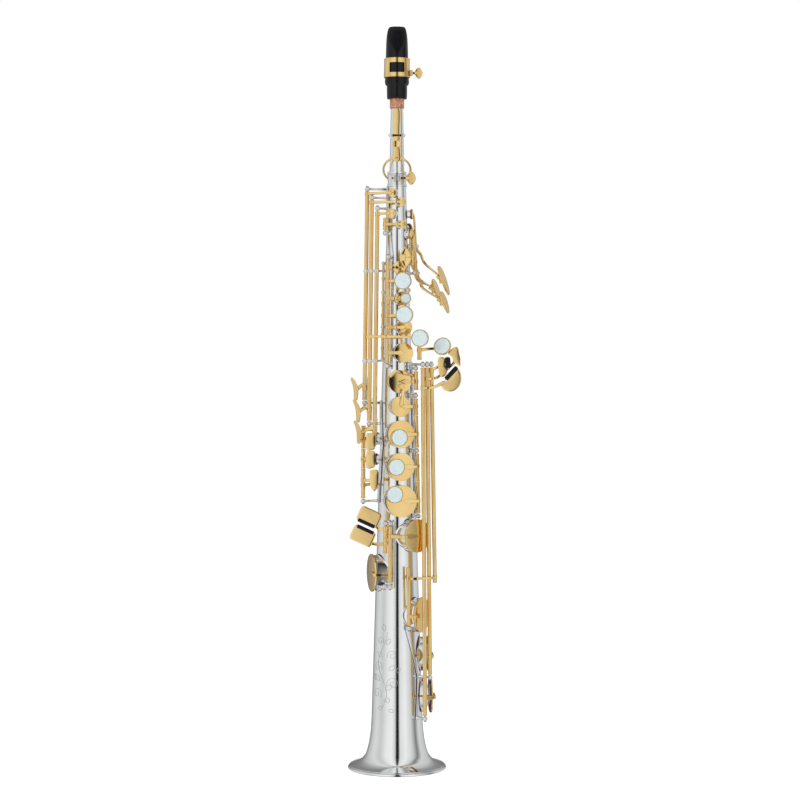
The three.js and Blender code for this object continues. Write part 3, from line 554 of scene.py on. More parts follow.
class Hinge:
    """A hinge line between two points, with the heights of the posts that carry it."""

    def __init__(self, top, bottom, post_heights=()):
        self.post_heights = post_heights
        self.bottom = Vector(bottom)
        self.run = Vector(top) - self.bottom
        self.axis = self.run.normalized()

    def at(self, z):
        """The point of the axis at a height."""
        return self.bottom + self.run * ((z - self.bottom.z) / self.run.z)

    def post(self, i):
        return self.at(self.post_heights[i])


UPPER = Hinge((-7.9, -15.8, 477), (-9.2, -18.4, 374), (475.6, 375.4))
LOWER = Hinge((17.2, -13.2, 348), (19.9, -14.6, 232), (348, 297.2, 236.5))
SIDE_HIGH_E = Hinge((-27.4, -6, 540), (-30.2, -7, 342), (538.8, 341))
SIDE_C = Hinge((-23.2, -9, 529), (-25.8, -10.2, 322), (530.6, 321.8))
SIDE_B_FLAT = Hinge((-18, -11, 518), (-20.8, -12.6, 304), (520.7, 303.5))
RIGHT_HAND = Hinge((-31, -10.5, 320), (-31.4, -11, 250), (250.2,))
LOW_B_FLAT = Hinge((23.8, -19.6, 374), (26, -21.8, 52), (376.7, 49.4))
LOW_B = Hinge((27.8, -16.6, 374), (30.6, -18, 92), (376.7, 87.4))
C_SHARP_LEVER = Hinge((31.8, -13.4, 374), (35.2, -13.8, 172), (376.7,))
LOW_C_SHARP = Hinge((10.4, -23.6, 190), (11.2, -24.4, 136), (133.6,))
PINKY_LEVER = Hinge((-10.6, -22.6, 228), (-11.4, -23.8, 174), (230.4, 172))
PINKY_KEY = Hinge((-6, -24.2, 228), (-6.4, -25.6, 174), (230.4, 172))
G_SHARP_LEVER = Hinge((20.6, -15.4, 398), (20.8, -15.6, 381))
G_SHARP = Hinge((17.4, -14.2, 370.5), (17.8, -14.6, 353), (373.2,))
FRONT_F = Hinge((13.6, -13.2, 482), (13.9, -13.5, 468))
BODY_OCTAVE = Hinge((-10.6, -11.6, 513), (-10.8, -11.8, 500), (498,))
OCTAVE_ROD = Hinge((-5.5, 15, 534), (-6.6, 17.6, 438), (536.7, 446.9))

# Joints in the frame are zero at rest and positive when the key is pressed.
JOINTS = {joint["child"]: joint for joint in frame["joints"]}
OPEN_AT_REST = {
    "b_key", "bis_key", "a_key", "g_key", "f_sharp_key", "f_key", "e_key", "d_key",
    "low_b_flat_key", "low_b_key", "low_c_key",
}


def rest_place(name):
    """The matrix that takes a key from closed on its tone hole to how it stands at rest."""
    if name not in OPEN_AT_REST:
        return Matrix.Identity(4)
    joint = JOINTS[f"{name}_group"]
    pivot = Vector(joint["pos_m"]) / MM
    turn = Matrix.Rotation(-math.radians(joint["range_deg"][1]), 4, Vector(joint["axis"]))
    return Matrix.Translation(pivot) @ turn @ Matrix.Translation(-pivot)


# ---------------------------------------------------------------- body and bell


def tone_hole_ring(hole):
    """A drawn tone hole: a filleted wall that rises from the curved body to a flat rim."""
    sides = 56
    rows = []

    def ring(radius, lift=None, height=None):
        points = []
        for i in range(sides):
            a = TAU * i / sides
            across, along = radius * math.cos(a), radius * math.sin(a)
            z = hole.z + along
            depth = height
            if depth is None:
                depth = math.sqrt(max(body_radius(z) ** 2 - across * across, 0.2)) + lift
            points.append(at_height(hole.n * depth + hole.t * across, z))
        return points

    top = hole.top
    rows.append(ring(hole.outer + 1.1, -0.05))
    rows.append(ring(hole.outer + 0.6, 0.12))
    rows.append(ring(hole.outer + 0.22, 0.45))
    rows.append(ring(hole.outer, 1.0 if hole.outer < 10 else 0.8))
    rows += [ring(hole.outer, height=top - 0.35), ring(hole.outer - 0.1, height=top - 0.08)]
    rows += [ring(hole.outer - 0.4, height=top), ring(hole.bore + 0.3, height=top)]
    rows += [ring(hole.bore + 0.05, height=top - 0.1), ring(hole.bore, height=top - 0.4)]
    rows.append(ring(hole.bore, -WALL - 0.15))
    rows.append(ring(hole.outer + 0.5, -WALL + 0.1))
    return grid(rows, wrap_rows=True)


def boolean_cut(target, cutter_shape):
    """Cuts the shape out of a piece for good, and leaves no modifier."""
    cutter = add_object("cutter", mesh_of("cutter", cutter_shape, weld=False))
    cut = target.modifiers.new("holes", "BOOLEAN")
    cut.operation = "DIFFERENCE"
    cut.solver = "EXACT"
    cut.use_self = True
    cut.object = cutter
    bpy.context.view_layer.update()
    evaluated = target.evaluated_get(bpy.context.evaluated_depsgraph_get())
    result = bpy.data.meshes.new_from_object(evaluated)
    target.modifiers.clear()
    target.data = result
    bpy.data.objects.remove(cutter)
    result.set_sharp_from_angle(angle=math.radians(CREASE))


def build_body():
    rows = 60
    heights = [BELL_TOP + (BODY_TOP - BELL_TOP) * i / rows for i in range(rows + 1)]
    outside = [(body_radius(z), z) for z in heights]
    inside = [(body_radius(z) - WALL, z) for z in reversed(heights)]
    tube = piece(
        "body_tube", lathe(outside + inside + outside[:1], sides=120), SILVER,
        nodes=["body_tube"],
    )
    bores = [
        rod(at_height(hole.n * body_radius(hole.z) * 0.35, hole.z),
            at_height(hole.n * (hole.top + 3), hole.z), hole.bore + 0.12, 48, edge=0)
        for hole in HOLES.values()
    ]
    boolean_cut(tube, total(bores))
    piece("tone_holes", total(tone_hole_ring(hole) for hole in HOLES.values()), SILVER)


build_body()

BELL_OUTSIDE = [
    (37.5, 5.3), (34, 7.5), (31.5, 10), (29.2, 13.4), (27.6, 18), (26.2, 24), (25.2, 30),
    (24.4, 37), (body_radius(46), 46),
]


def build_bell():
    flare = [Vector((r, h, 0)) for r, h in [(43.6, 2.7), (41, 3.7)] + BELL_OUTSIDE]
    flare = smooth_path(flare, 6)
    inner = [Vector((p.x - 0.9, p.y - 0.55 if p.y < 20 else p.y, 0)) for p in reversed(flare)]
    rim = [
        (43.6, 0.35), (44.1, 0.0), (45.1, 0.05), (45.7, 0.5), (45.85, 1.1), (45.7, 1.8),
        (45.1, 2.35), (44.4, 2.5),
    ]
    profile = [(p.x, p.y) for p in flare] + [(p.x, p.y) for p in inner] + rim
    piece("bell", lathe(profile + profile[:1], sides=144), SILVER, nodes=["bell"])
    bead = [(44.35 + 0.5 * math.cos(a), 3.1 + 0.38 * math.sin(a))
            for a in (TAU * i / 12 for i in range(13))]
    bead[-1] = bead[0]
    piece("bell_rim_bead", lathe([(r - 0.4, h) for r, h in bead], sides=144), SILVER)


build_bell()


# ---------------------------------------------------------------- parts of keys


def tube(hinge, high, low, collars=()):
    """A hinge tube with eased ends and a collar wherever an arm is brazed on."""
    shapes = [rod(hinge.at(low), hinge.at(high), TUBE_RADIUS, 28)]
    for z in (low + 0.9, high - 0.9):
        shapes.append(rod(hinge.at(z - 0.7), hinge.at(z + 0.7), TUBE_RADIUS + 0.22, 28))
    for z in collars:
        shapes.append(rod(hinge.at(z - 2), hinge.at(z + 2), TUBE_RADIUS + 0.35, 28, edge=0.3))
    return total(shapes)


def cup_metal(hole):
    """A key cup: a shallow pan with a turned edge and a gently crowned top."""
    r = hole.cup
    profile = [(0, 0.95), (r - 0.35, 0.95), (r - 0.25, 0.62), (r, 0.62), (r, 2.0), (r - 0.9, 2.12)]
    profile = soften([(a, b, 0) for a, b in profile], 0.22, 3)
    inner = r - 0.9
    profile += [v(inner * s, 2.12 + 0.78 * (1 - s * s), 0) for s in (0.97, 0.85, 0.68, 0.45, 0.2)]
    profile.append(v(0, 2.9, 0))
    return lathe([(max(p.x, 0), p.y) for p in profile], hole.seat, hole.n, 72)


def pad(hole):
    """The leather pad in a cup, pressed a little into a ring where it meets the tone hole."""
    r = hole.cup - 0.45
    rim = (hole.outer + hole.bore) / 2
    return lathe([
        (0, 0.95), (r, 0.95), (r + 0.08, 0.5), (r - 0.2, 0.14), (rim + 0.7, 0.02),
        (rim, 0.12), (rim - 0.8, 0.02), (rim * 0.5, 0.06), (0, 0.1),
    ], hole.seat, hole.n, 56)


def resonator(hole):
    """The metal disc riveted in the middle of a larger pad."""
    r = hole.bore * 0.62
    return lathe([(0, 0.3), (r, 0.3), (r, -0.02), (r * 0.9, -0.16), (r * 0.3, -0.22),
                  (r * 0.2, -0.4), (0, -0.45)], hole.seat, hole.n, 40)


def cup_arm(hole, start):
    """An arm that climbs from its tube and runs in a spear point over the cup's crown."""
    side = start - hole.crown
    side -= hole.n * side.dot(hole.n)
    side.z = 0
    side.normalize()
    knee = hole.crown + side * (hole.cup + 1.5) + hole.n * 0.5
    climb_up = UP.cross(knee - start).normalized()
    if climb_up.dot(hole.n) < 0:
        climb_up = -climb_up
    edge = hole.crown + side * (hole.cup - 1.4) + hole.n * 0.6
    tip = hole.crown - side * min(1.2, hole.cup * 0.12) + hole.n * 0.65
    wide = 3.3 if hole.cup > 6 else 2.5
    points = [start, start.lerp(knee, 0.55), knee, edge, edge.lerp(tip, 0.45), tip]
    widths = [wide + 0.6, wide, wide, wide * 0.92, wide * 1.45, 0.5]
    depths = [2.0, 1.9, 1.8, 1.7, 1.6, 1.2]
    ups = [climb_up, climb_up, (climb_up + hole.n).normalized(), hole.n, hole.n, hole.n]
    boss = lathe([(wide * 0.75, -1.0), (wide * 0.75, -0.15), (wide * 0.5, 0.25), (0, 0.35)],
                 hole.crown - hole.n * 0.3, hole.n, 32)
    return sweep(points, widths, depths, ups) + boss


def link_arm(points, up, width=3.0, thickness=1.7, end=1.0):
    """A brazed arm through the points, slimmer along its middle."""
    count = len(points)
    widths = [width * (1.15 if i == 0 else end if i == count - 1 else 0.88) for i in range(count)]
    return sweep(points, widths, thickness, up)


def pearl_cup(p, n, radius):
    profile = soften([
        (0, 0, 0), (radius * 0.8, 0, 0), (radius + 0.9, 0.7, 0), (radius + 0.9, 2.75, 0),
        (radius + 0.3, 2.75, 0), (radius + 0.2, 1.5, 0), (0, 1.4, 0),
    ], 0.28, 4)
    return lathe([(max(q.x, 0), q.y) for q in profile], p, n, 56)


def pearl_disc(p, n, radius, dish=0.35):
    r = radius + 0.12
    return lathe([
        (0, 1.45), (r, 1.45), (r, 2.5), (r - 0.15, 2.85), (r - 0.6, 3.05), (r * 0.8, 3.1),
        (r * 0.6, 3.1 - dish * 0.45), (r * 0.3, 3.1 - dish * 0.85), (0, 3.1 - dish),
    ], p, n, 56)


def key_piece(name, shape, look, suffix="", nodes=None):
    """A piece of a key, laid out closed and turned to how the key stands at rest."""
    if nodes is None:
        nodes = [] if suffix else [name]
    piece(name + suffix, shape.moved(rest_place(name)), look, f"{name}_group", nodes)


def cup_key(name, hinge, high, low, arm_z, extra=(), pearls=(), collars=()):
    hole = HOLES[name]
    metal = tube(hinge, high, low, (arm_z, *collars)) + cup_metal(hole)
    metal += cup_arm(hole, hinge.at(arm_z)) + total(extra)
    for p, n, radius, node in pearls:
        metal += pearl_cup(p, n, radius)
        key_piece(name, pearl_disc(p, n, radius), PEARL, "_" + node, [node])
    key_piece(name, metal, GOLD)
    key_piece(name, pad(hole), LEATHER, "_pad")
    if hole.cup > 6:
        key_piece(name, resonator(hole), POST_SILVER, "_resonator")


TOUCH_FACE = v(-0.1, -1, 0.03).normalized()


def touch_arm(hinge, z, pearl_at):
    start = hinge.at(z)
    under = pearl_at + FRONT * 0.4
    knee = v(start.x + 3.2, under.y, z)
    return sweep([start, start.lerp(knee, 0.6), knee, knee.lerp(under, 0.5), under],
                 [3.6, 3.0, 2.8, 2.5, 3.4], 1.7,
                 [v(-0.9, -0.4, 0), v(-0.8, -0.6, 0), v(-0.4, -0.9, 0), FRONT, FRONT])


# ---------------------------------------------------------------- finger stacks

PEARL_RADIUS = 7.2
b_pearl = v(6.8, -21.2, 453.5)
cup_key("b_key", UPPER, 472.8, 448.2, 466, [touch_arm(UPPER, 453.5, b_pearl)],
        [(b_pearl, FRONT, PEARL_RADIUS, "b_pearl")], [453.5])
bis = HOLES["bis_key"]
cup_key("bis_key", UPPER, 447.8, 432, 437.5, (),
        [(bis.crown + v(3.2, 0.2, 0), bis.n, 4.2, "bis_pearl")])
a_pearl = v(8.6, -23.4, 422.3)
cup_key("a_key", UPPER, 431.6, 405.8, 411, [touch_arm(UPPER, 421.5, a_pearl)],
        [(a_pearl, FRONT, PEARL_RADIUS, "a_pearl")], [421.5])
g_pearl = v(23, -24.2, 400.8)
cup_key("g_key", UPPER, 405.4, 378.1, 387.5, [
    sweep([v(-27, -21.5, 402.4), v(-18, -23, 402.6), v(-9, -24, 402.4), v(4, -24.8, 402.2),
           v(14, -25.1, 401.6), g_pearl + v(-1, 0.2, 0)],
          [3.2, 2.2, 2.6, 2.2, 2.2, 3.6], 1.5, FRONT),
    link_arm([UPPER.at(402.4), v(-9, -24, 402.4)], RIGHT, 3.2, 2.2),
], [(g_pearl, FRONT, PEARL_RADIUS, "g_pearl")], [402.4])

g_sharp = HOLES["g_sharp_key"]
cup_key("g_sharp_key", G_SHARP, 370.5, 353, 361, [
    sweep([G_SHARP.at(366), G_SHARP.at(366) + v(-6, -4.4, 1.6), g_sharp.crown + v(4, -1.6, 8.2),
           g_sharp.crown + v(-3, -1.6, 9.2), g_sharp.crown + v(-8.4, -0.6, 5.4)],
          [3.4, 2.6, 2.6, 2.8, 3.2], 1.3, FRONT),
    lathe([(0, 0), (2.6, 0), (2.6, 2.2), (2.2, 2.8), (0, 2.9)],
          g_sharp.crown + v(1.2, 0.4, -4.6), g_sharp.n, 32),
])

G_SHARP_FACE = v(-0.35, -0.9, 0.3).normalized()
g_sharp_pearl = v(42.4, -17.5, 393)
key_piece("g_sharp_lever", tube(G_SHARP_LEVER, 398, 381, [390]) + link_arm([
    G_SHARP_LEVER.at(390), v(30, -14.6, 391), g_sharp_pearl + v(0, 3, -1),
], FRONT) + rod(g_sharp_pearl + v(0, 3.2, -1), g_sharp_pearl, 1.6) + pearl_cup(
    g_sharp_pearl, G_SHARP_FACE, 7.4), GOLD)
key_piece("g_sharp_lever", pearl_disc(g_sharp_pearl, G_SHARP_FACE, 7.4, -0.3), PEARL,
          "_pearl", ["g_sharp_pearl"])

LOWER_STACK = {
    "f_key": (329.6, 299.9, (-2.6, -3), "f_pearl"),
    "e_key": (294.5, 268.4, (-5.2, 0), "e_pearl"),
    "d_key": (268, 239.3, (-7.6, 6.4), "d_pearl"),
}
f_sharp = HOLES["f_sharp_key"]
cup_key("f_sharp_key", LOWER, 345.3, 330, 338, [
    sweep([f_sharp.crown + v(0, -0.2, 2), f_sharp.crown + v(0.8, -1.2, 8.6),
           f_sharp.crown + v(1.4, -1.4, 13.4)], [4.4, 3.0, 3.6], 1.5, f_sharp.n),
])
for name, (high, low, offset, node) in LOWER_STACK.items():
    hole = HOLES[name]
    place = at_height(hole.crown + hole.t * offset[0], hole.z + offset[1]) - hole.n * 0.5
    cup_key(name, LOWER, high, low, hole.z, (), [(place, hole.n, PEARL_RADIUS, node)])

# ---------------------------------------------------------------- front F

LEAF = v(8, -23.6, 475)


def build_front_f():
    """A leaf-shaped touch, folded along its middle, on a short hinge."""
    half_long, half_wide = 10, 5.4
    across = v(1, -0.1, 0)
    rows = []
    count = 24
    for k in range(count + 1):
        s = -1 + 2 * k / count
        width = half_wide * (1 - abs(s) ** 1.9) ** 0.9 + 0.02
        crease = 0.55 * (1 - abs(s))
        centre = LEAF + UP * (half_long * s)
        front = [(-1, -0.5), (-0.12, -0.75), (0, -0.75 + crease), (0.12, -0.75), (1, -0.5)]
        back = [(0.98, 0.6), (0, 0.75), (-0.98, 0.6)]
        rows.append([centre + across * (width * x) + BACK * y for x, y in front + back])
    key_piece("front_f_key", tube(FRONT_F, 482, 468, [475]) + link_arm(
        [FRONT_F.at(475), v(12.6, -20.2, 475), v(11, -22.2, 475), v(8.4, -22.5, 475)],
        [v(0.9, -0.3, 0), v(0.8, -0.6, 0), v(0.3, -1, 0), FRONT]) + grid(capped(rows)), GOLD)


build_front_f()

# ---------------------------------------------------------------- little-finger table, bell keys

TABLE_Y = -15
PLATE_THICKNESS = 1.8


def table_plate(outline, dome=0.15):
    """A touch plate in the table's plane; the outline is [x, z] points."""
    cx = sum(x for x, _ in outline) / len(outline)
    cz = sum(z for _, z in outline) / len(outline)
    place = facing((cx, TABLE_Y - PLATE_THICKNESS / 2, cz), TOUCH_FACE, RIGHT)
    corners = soften([(x - cx, z - cz, 0) for x, z in outline + outline[:1]], 1.6, 3)[:-1]
    return plate([(p.x, p.y) for p in corners], PLATE_THICKNESS, place, 0.45, dome, 0)


def add_roller(name, a, b, radius):
    """A plastic roller and its pin on a key, laid out as the key stands at rest."""
    a, b = Vector(a), Vector(b)
    length = (b - a).length
    body = lathe([
        (0, 0), (radius * 0.6, 0), (radius * 0.92, 0.35), (radius, 1.1), (radius, length - 1.1),
        (radius * 0.92, length - 0.35), (radius * 0.6, length), (0, length),
    ], a, b - a, 32)
    reach = (b - a).normalized() * 1.1
    piece(f"{name}_roller", body, ROLLER, f"{name}_group")
    piece(f"{name}_roller_pin", rod(a - reach, b + reach, 0.55, 16), POST_SILVER, f"{name}_group")


def bell_key(name, hinge, high, low, arm_z, points, outline):
    back = rest_place(name).inverted()
    levels = link_arm(points, FRONT, 2.8, 1.7, 1.2) + table_plate(outline)
    cup_key(name, hinge, high, low, arm_z, [levels.moved(back)], (), [points[0].z])


bell_key("low_b_flat_key", LOW_B_FLAT, 374, 52.1, 68,
         [LOW_B_FLAT.at(355), v(27.5, -21.8, 355), v(34, -20.6, 356), v(43, TABLE_Y - 0.6, 360)],
         [(42, 361), (45.4, 360.9), (56.9, 372.6), (59.2, 368), (59.5, 362), (57.6, 356.4),
          (53.4, 352.6), (48, 351.4), (43, 353.4), (40.4, 357.4)])
bell_key("low_b_key", LOW_B, 374, 90.1, 106,
         [LOW_B.at(363.4), v(33.5, TABLE_Y - 3, 364), v(38.5, TABLE_Y + 3, 365.5),
          v(51, TABLE_Y + 3, 376.5), v(53.5, TABLE_Y - 0.6, 380)],
         [(52.4, 378.6), (50.6, 384), (46.6, 386.6), (49, 390), (53, 393), (56.4, 392.6),
          (58.6, 381), (58.6, 374.6), (56.8, 376)])
key_piece("low_c_sharp_lever", tube(C_SHARP_LEVER, 374, 174.7, [371, 180]) + link_arm(
    [C_SHARP_LEVER.at(371.6), v(36, -14.6, 373.6), v(41, TABLE_Y + 0.2, 376)], FRONT) + table_plate(
    [(37.4, 381), (39, 384), (44, 383.2), (44.4, 375), (47.2, 371.4), (45, 366.4),
     (41, 364.6), (38.6, 368)]) + sweep(
    [C_SHARP_LEVER.at(180), v(33.5, -21.5, 180), v(27, -25.3, 180), v(17, -26.8, 180)],
    [3.2, 2.4, 2.4, 2.8], 1.5, [v(-0.9, -0.2, 0), v(-0.8, -0.6, 0), v(-0.3, -0.9, 0), FRONT]), GOLD)
add_roller("low_b_flat_key", v(45.0, TABLE_Y - 0.8, 363.0), v(55.4, TABLE_Y - 0.8, 374.2), 2.2)
add_roller("low_c_sharp_lever", v(47.4, TABLE_Y - 1.7, 373.4), v(46.4, TABLE_Y - 1.7, 383.4), 2.6)

cup_key("low_c_sharp_key", LOW_C_SHARP, 190, 136.3, 144.5, [
    link_arm([LOW_C_SHARP.at(180), v(13.2, -29.2, 180), v(18, -29.7, 180)], FRONT, 2.8, 1.5),
], (), [180])

# ---------------------------------------------------------------- right little finger


def pinky_lever(name, high, low, z, centre, half_long, half_wide):
    face = facing(centre, TOUCH_FACE, v(math.cos(math.radians(24)), 0, -math.sin(math.radians(24))))
    outline = []
    bend = 3.0
    for sx, sz in ((1, 1), (-1, 1), (-1, -1), (1, -1)):
        cx, cz = sx * (half_long - bend), sz * (half_wide - bend)
        start = {(1, 1): 0, (-1, 1): 90, (-1, -1): 180, (1, -1): 270}[(sx, sz)]
        for k in range(4):
            a = math.radians(start + 30 * k)
            outline.append((cx + bend * math.cos(a), cz + bend * math.sin(a)))
    touch = plate(outline, 1.8, face, 0.5, 0.12, steps=3)
    hinge = PINKY_LEVER
    arm = sweep([hinge.at(z), v((hinge.at(z).x + centre.x) / 2 + 2, centre.y + 0.6, z),
                 v(centre.x + 7, centre.y + 0.2, z + (centre.z - z) * 0.2), centre],
                [3.4, 3.0, 3.2, 5], 1.5, FRONT)
    key_piece(name, tube(hinge, high, low, [z]) + arm + touch, GOLD)
    return face


e_flat_face = pinky_lever("low_e_flat_lever", 228, 217.6, 225, v(-25.5, -24.5, 236.5), 10.5, 7.4)
low_c_face = pinky_lever("low_c_lever", 217.2, 203, 211.5, v(-31.5, -24.5, 219.2), 10.8, 7.4)
for name, face, y in (("low_e_flat_lever", e_flat_face, -6.3), ("low_c_lever", low_c_face, 6.3)):
    add_roller(name, face @ v(-8.4, y, 1.0), face @ v(8.4, y, 1.0), 1.75)
cup_key("low_c_key", PINKY_KEY, 228, 202, 218.5)
cup_key("low_e_flat_key", PINKY_KEY, 201.6, 175.9, 183)

# ---------------------------------------------------------------- side keys

SIDE_FACE = v(-0.78, -0.62, 0)


def side_key(name, hinge, high, low, arm_z, touch):
    start = hinge.at(touch.z)
    blade = sweep([touch + v(-3.2, 1.0, 9.0), touch + v(-0.9, 0.2, 4.6), touch + v(0.5, -0.1, -1),
                   touch + v(0.3, 0, -8.4)],
                  [3.4, 5.4, 6.4, 5.4], [1.1, 1.5, 1.6, 1.2], SIDE_FACE)
    mid = start.lerp(touch, 0.5)
    arm = sweep([start + v(0, 0, 3.4), mid + v(0.2, 0, 2.2), touch + v(0.9, 0.4, -1.5)],
                [5.0, 4.2, 3.4], 1.5, [v(-0.5, -0.8, 0), v(-0.6, -0.7, 0.2), SIDE_FACE])
    cup_key(name, hinge, high, low, arm_z, [blade, arm], (), [touch.z])


side_key("side_high_e_key", SIDE_HIGH_E, 536.1, 343.7, 534.5, v(-38.4, -10.5, 354))
side_key("side_c_key", SIDE_C, 528, 324.5, 526.4, v(-36.2, -15, 334))
side_key("side_b_flat_key", SIDE_B_FLAT, 518, 306.2, 515.6, v(-35.4, -18.5, 314.5))


def right_hand_key(name, high, low, z, touch_x, touch_z, half_high, pointed=False):
    hinge = RIGHT_HAND
    outline = [(-4, -half_high), (-4, half_high - 1.5), (-2, half_high), (2.6, half_high),
               (4, half_high - 2), (4, -half_high + 2), (2, -half_high)]
    if pointed:
        outline = [(-3.6, -half_high * 0.4), (-4, half_high - 2), (-2, half_high),
                   (2.6, half_high), (4, half_high - 2), (3.6, -half_high * 0.3),
                   (0.4, -half_high)]
    touch = plate(outline, 1.6, facing((touch_x, -25, touch_z), TOUCH_FACE, RIGHT), 0.45, 0.2, 4)
    arm = sweep([hinge.at(touch_z), v(-30, -20, touch_z), v(touch_x - 1, -24.6, touch_z)],
                [3.4, 2.8, 3.2], 1.6, [v(-1, 0.3, 0), v(-0.9, -0.4, 0), FRONT])
    cup_key(name, hinge, high, low, z, [touch, arm], (), [touch_z])


right_hand_key("high_f_sharp_key", 320, 299, 308, -24, 306.2, 7.6)
right_hand_key("chromatic_f_sharp_key", 298.6, 280.4, 288, -24, 289.6, 7.6)
right_hand_key("high_g_key", 280, 252.9, 265, -21, 270, 10, True)
cup_key("body_octave_key", BODY_OCTAVE, 512, 500.7, 506)

# ---------------------------------------------------------------- palm keys

PALM_RIM = 7.6
palm_posts = []


def palm_key(name, hinge_z, elbow, touch, long, half_long):
    hole = HOLES[name]
    pivot = on_body(hole.azimuth, hinge_z, PALM_RIM)
    across = hole.t
    shoulder = at_height(hole.crown, hole.z - hole.cup - 2) + hole.n
    tip = hole.crown + hole.n * 0.3
    face = v(0.85, -0.42, 0.3).normalized()
    down = Vector(long).normalized()
    barrel = rod(pivot - across * 2.9, pivot + across * 2.9, TUBE_RADIUS, 28)
    lever = sweep([tip, shoulder, pivot + hole.n * 0.4, pivot.lerp(elbow, 0.5) + hole.n * 0.8,
                   elbow, elbow.lerp(touch, 0.55), touch],
                  [1.6, 4.6, 5.4, 6.2, 6.4, 6.0, 4.2], [1.0, 1.6, 2.0, 1.8, 1.8, 1.8, 1.6],
                  [hole.n, hole.n, hole.n, hole.n, (hole.n + v(0, 0, 0.6)).normalized(),
                   v(0.3, 0, 1).normalized(), v(0.3, 0, 1).normalized()])
    blade_outline = [(half_long * math.cos(a),
                      5.2 * math.sin(a) * (1 - 0.18 * math.cos(a)))
                     for a in (TAU * i / 20 for i in range(20))]
    blade = plate(blade_outline, 1.6, facing(touch, face, down), 0.45, 0.5)
    back = (elbow - touch).normalized()
    block_at = touch + back * 5.4
    block = rod(block_at + back * 1.9, block_at - back * 1.9, 3.1, 6, edge=0.5)
    adjuster = rod(touch + back * 3.4 + v(0, 0, 0.6), touch + back * 3.4 + v(0.5, 0, -4.8), 2.1, 28)
    metal = barrel + cup_metal(hole) + lever + blade + block + adjuster
    key_piece(name, metal, GOLD)
    key_piece(name, pad(hole), LEATHER, "_pad")
    palm_posts.extend(pivot + across * side * 5.3 for side in (-1, 1))


palm_key("palm_f_key", 486, v(25.5, 2.5, 471), v(43.4, -3.5, 454.4), v(10.6, 0, -27.5), 14.2)
palm_key("palm_d_key", 461, v(24, -12.5, 447), v(44, -15.8, 434), v(7.2, 0, -20), 10.6)
palm_key("palm_e_flat_key", 472, v(20, 14.5, 456), v(37, 17, 446), v(6, 0, -20), 11)

# ---------------------------------------------------------------- octave mechanism

THUMB_HINGE_Y = 22.4
THUMB_HINGE_Z = 446


def on_thumb_hinge(x):
    return v(x, THUMB_HINGE_Y, THUMB_HINGE_Z)


key_piece("octave_thumb_lever", rod(on_thumb_hinge(-3), on_thumb_hinge(8), TUBE_RADIUS, 28) + sweep(
    [v(3, 22.6, 445), v(3, 22.9, 438), v(3, 22.8, 430)], [4.4, 3.8, 6], 1.8, BACK) + plate(
    ellipse(9, 6, 20), 1.8, facing((3, 22.8, 428), BACK, UP), 0.5, 0.3) + sweep(
    [on_thumb_hinge(-1.6), v(-2.6, 22.2, 450), v(-3.4, 21.6, 454)], [3.4, 2.8, 3], 1.7, BACK), GOLD)
key_piece("octave_rod", tube(OCTAVE_ROD, 534, 449.6, [531]) + link_arm(
    [OCTAVE_ROD.at(531), v(-2, 17, 531), v(1.5, 16.4, 531)], UP.cross(RIGHT), 2.8, 1.6) + rod(
    v(1.5, 16.4, 530), v(1.5, 16.4, 548), 1.1, 20), GOLD)

# ---------------------------------------------------------------- posts and ribs


def curved_strip(start, end):
    """A flat strap that lies on the body from one [azimuth, height] to another."""
    turn = ((end[0] - start[0] + 540) % 360) - 180
    steps = max(2, int(abs(turn) / 3))
    along = [(start[0] + turn * i / steps, start[1] + (end[1] - start[1]) * i / steps)
             for i in range(steps + 1)]
    path = [on_body(a, z, RIB_LIFT) for a, z in along]
    rows = []
    for i, p in enumerate(path):
        ahead = (path[min(i + 1, steps)] - path[max(i - 1, 0)]).normalized()
        up = outward(azimuth_of(p))
        side = ahead.cross(up).normalized()
        outline = soften([
            (-RIB_WIDTH / 2, -0.45, 0), (RIB_WIDTH / 2, -0.45, 0), (RIB_WIDTH / 2, 0.4, 0),
            (-RIB_WIDTH / 2, 0.4, 0), (-RIB_WIDTH / 2, -0.45, 0),
        ], 0.25, 2)[:-1]
        reach = ahead * (-1.2 if i == 0 else 1.2 if i == steps else 0)
        rows.append([p + reach + side * q.x + up * q.y for q in outline])
    return grid(capped(rows))


def post(p, radius=POST_BALL):
    """A turned post: a flanged foot, a waisted stem and a ball at its top."""
    foot = on_body(azimuth_of(p), p.z, 0.5)
    up = p - foot
    length = up.length
    stem = lathe([
        (0, 0), (2.2, 0), (2.3, 0.5), (2.15, 0.95), (1.5, 1.3), (1.25, 2.0),
        (0.95, max(2.4, length * 0.55)), (1.05, max(2.6, length - radius * 1.15)),
        (1.6, max(2.8, length - radius * 0.85)), (1.2, length), (0, length),
    ], foot, up, 28)
    return stem + ball(p, radius)


def posts(name, ends, links, detours=(), radius=POST_BALL):
    """Posts with the straps that join them; a detour runs up the body at an azimuth of its own."""
    feet = [(azimuth_of(p), p.z) for p in ends]
    shape = total(post(p, radius) for p in ends)
    for i, j in links:
        shape += curved_strip(feet[i], feet[j])
    for i, j, azimuth in detours:
        corners = [feet[i], (azimuth, feet[i][1]), (azimuth, feet[j][1]), feet[j]]
        for a, b in zip(corners, corners[1:]):
            shape += curved_strip(a, b)
    piece(name, shape, POST_SILVER, nodes=[name])


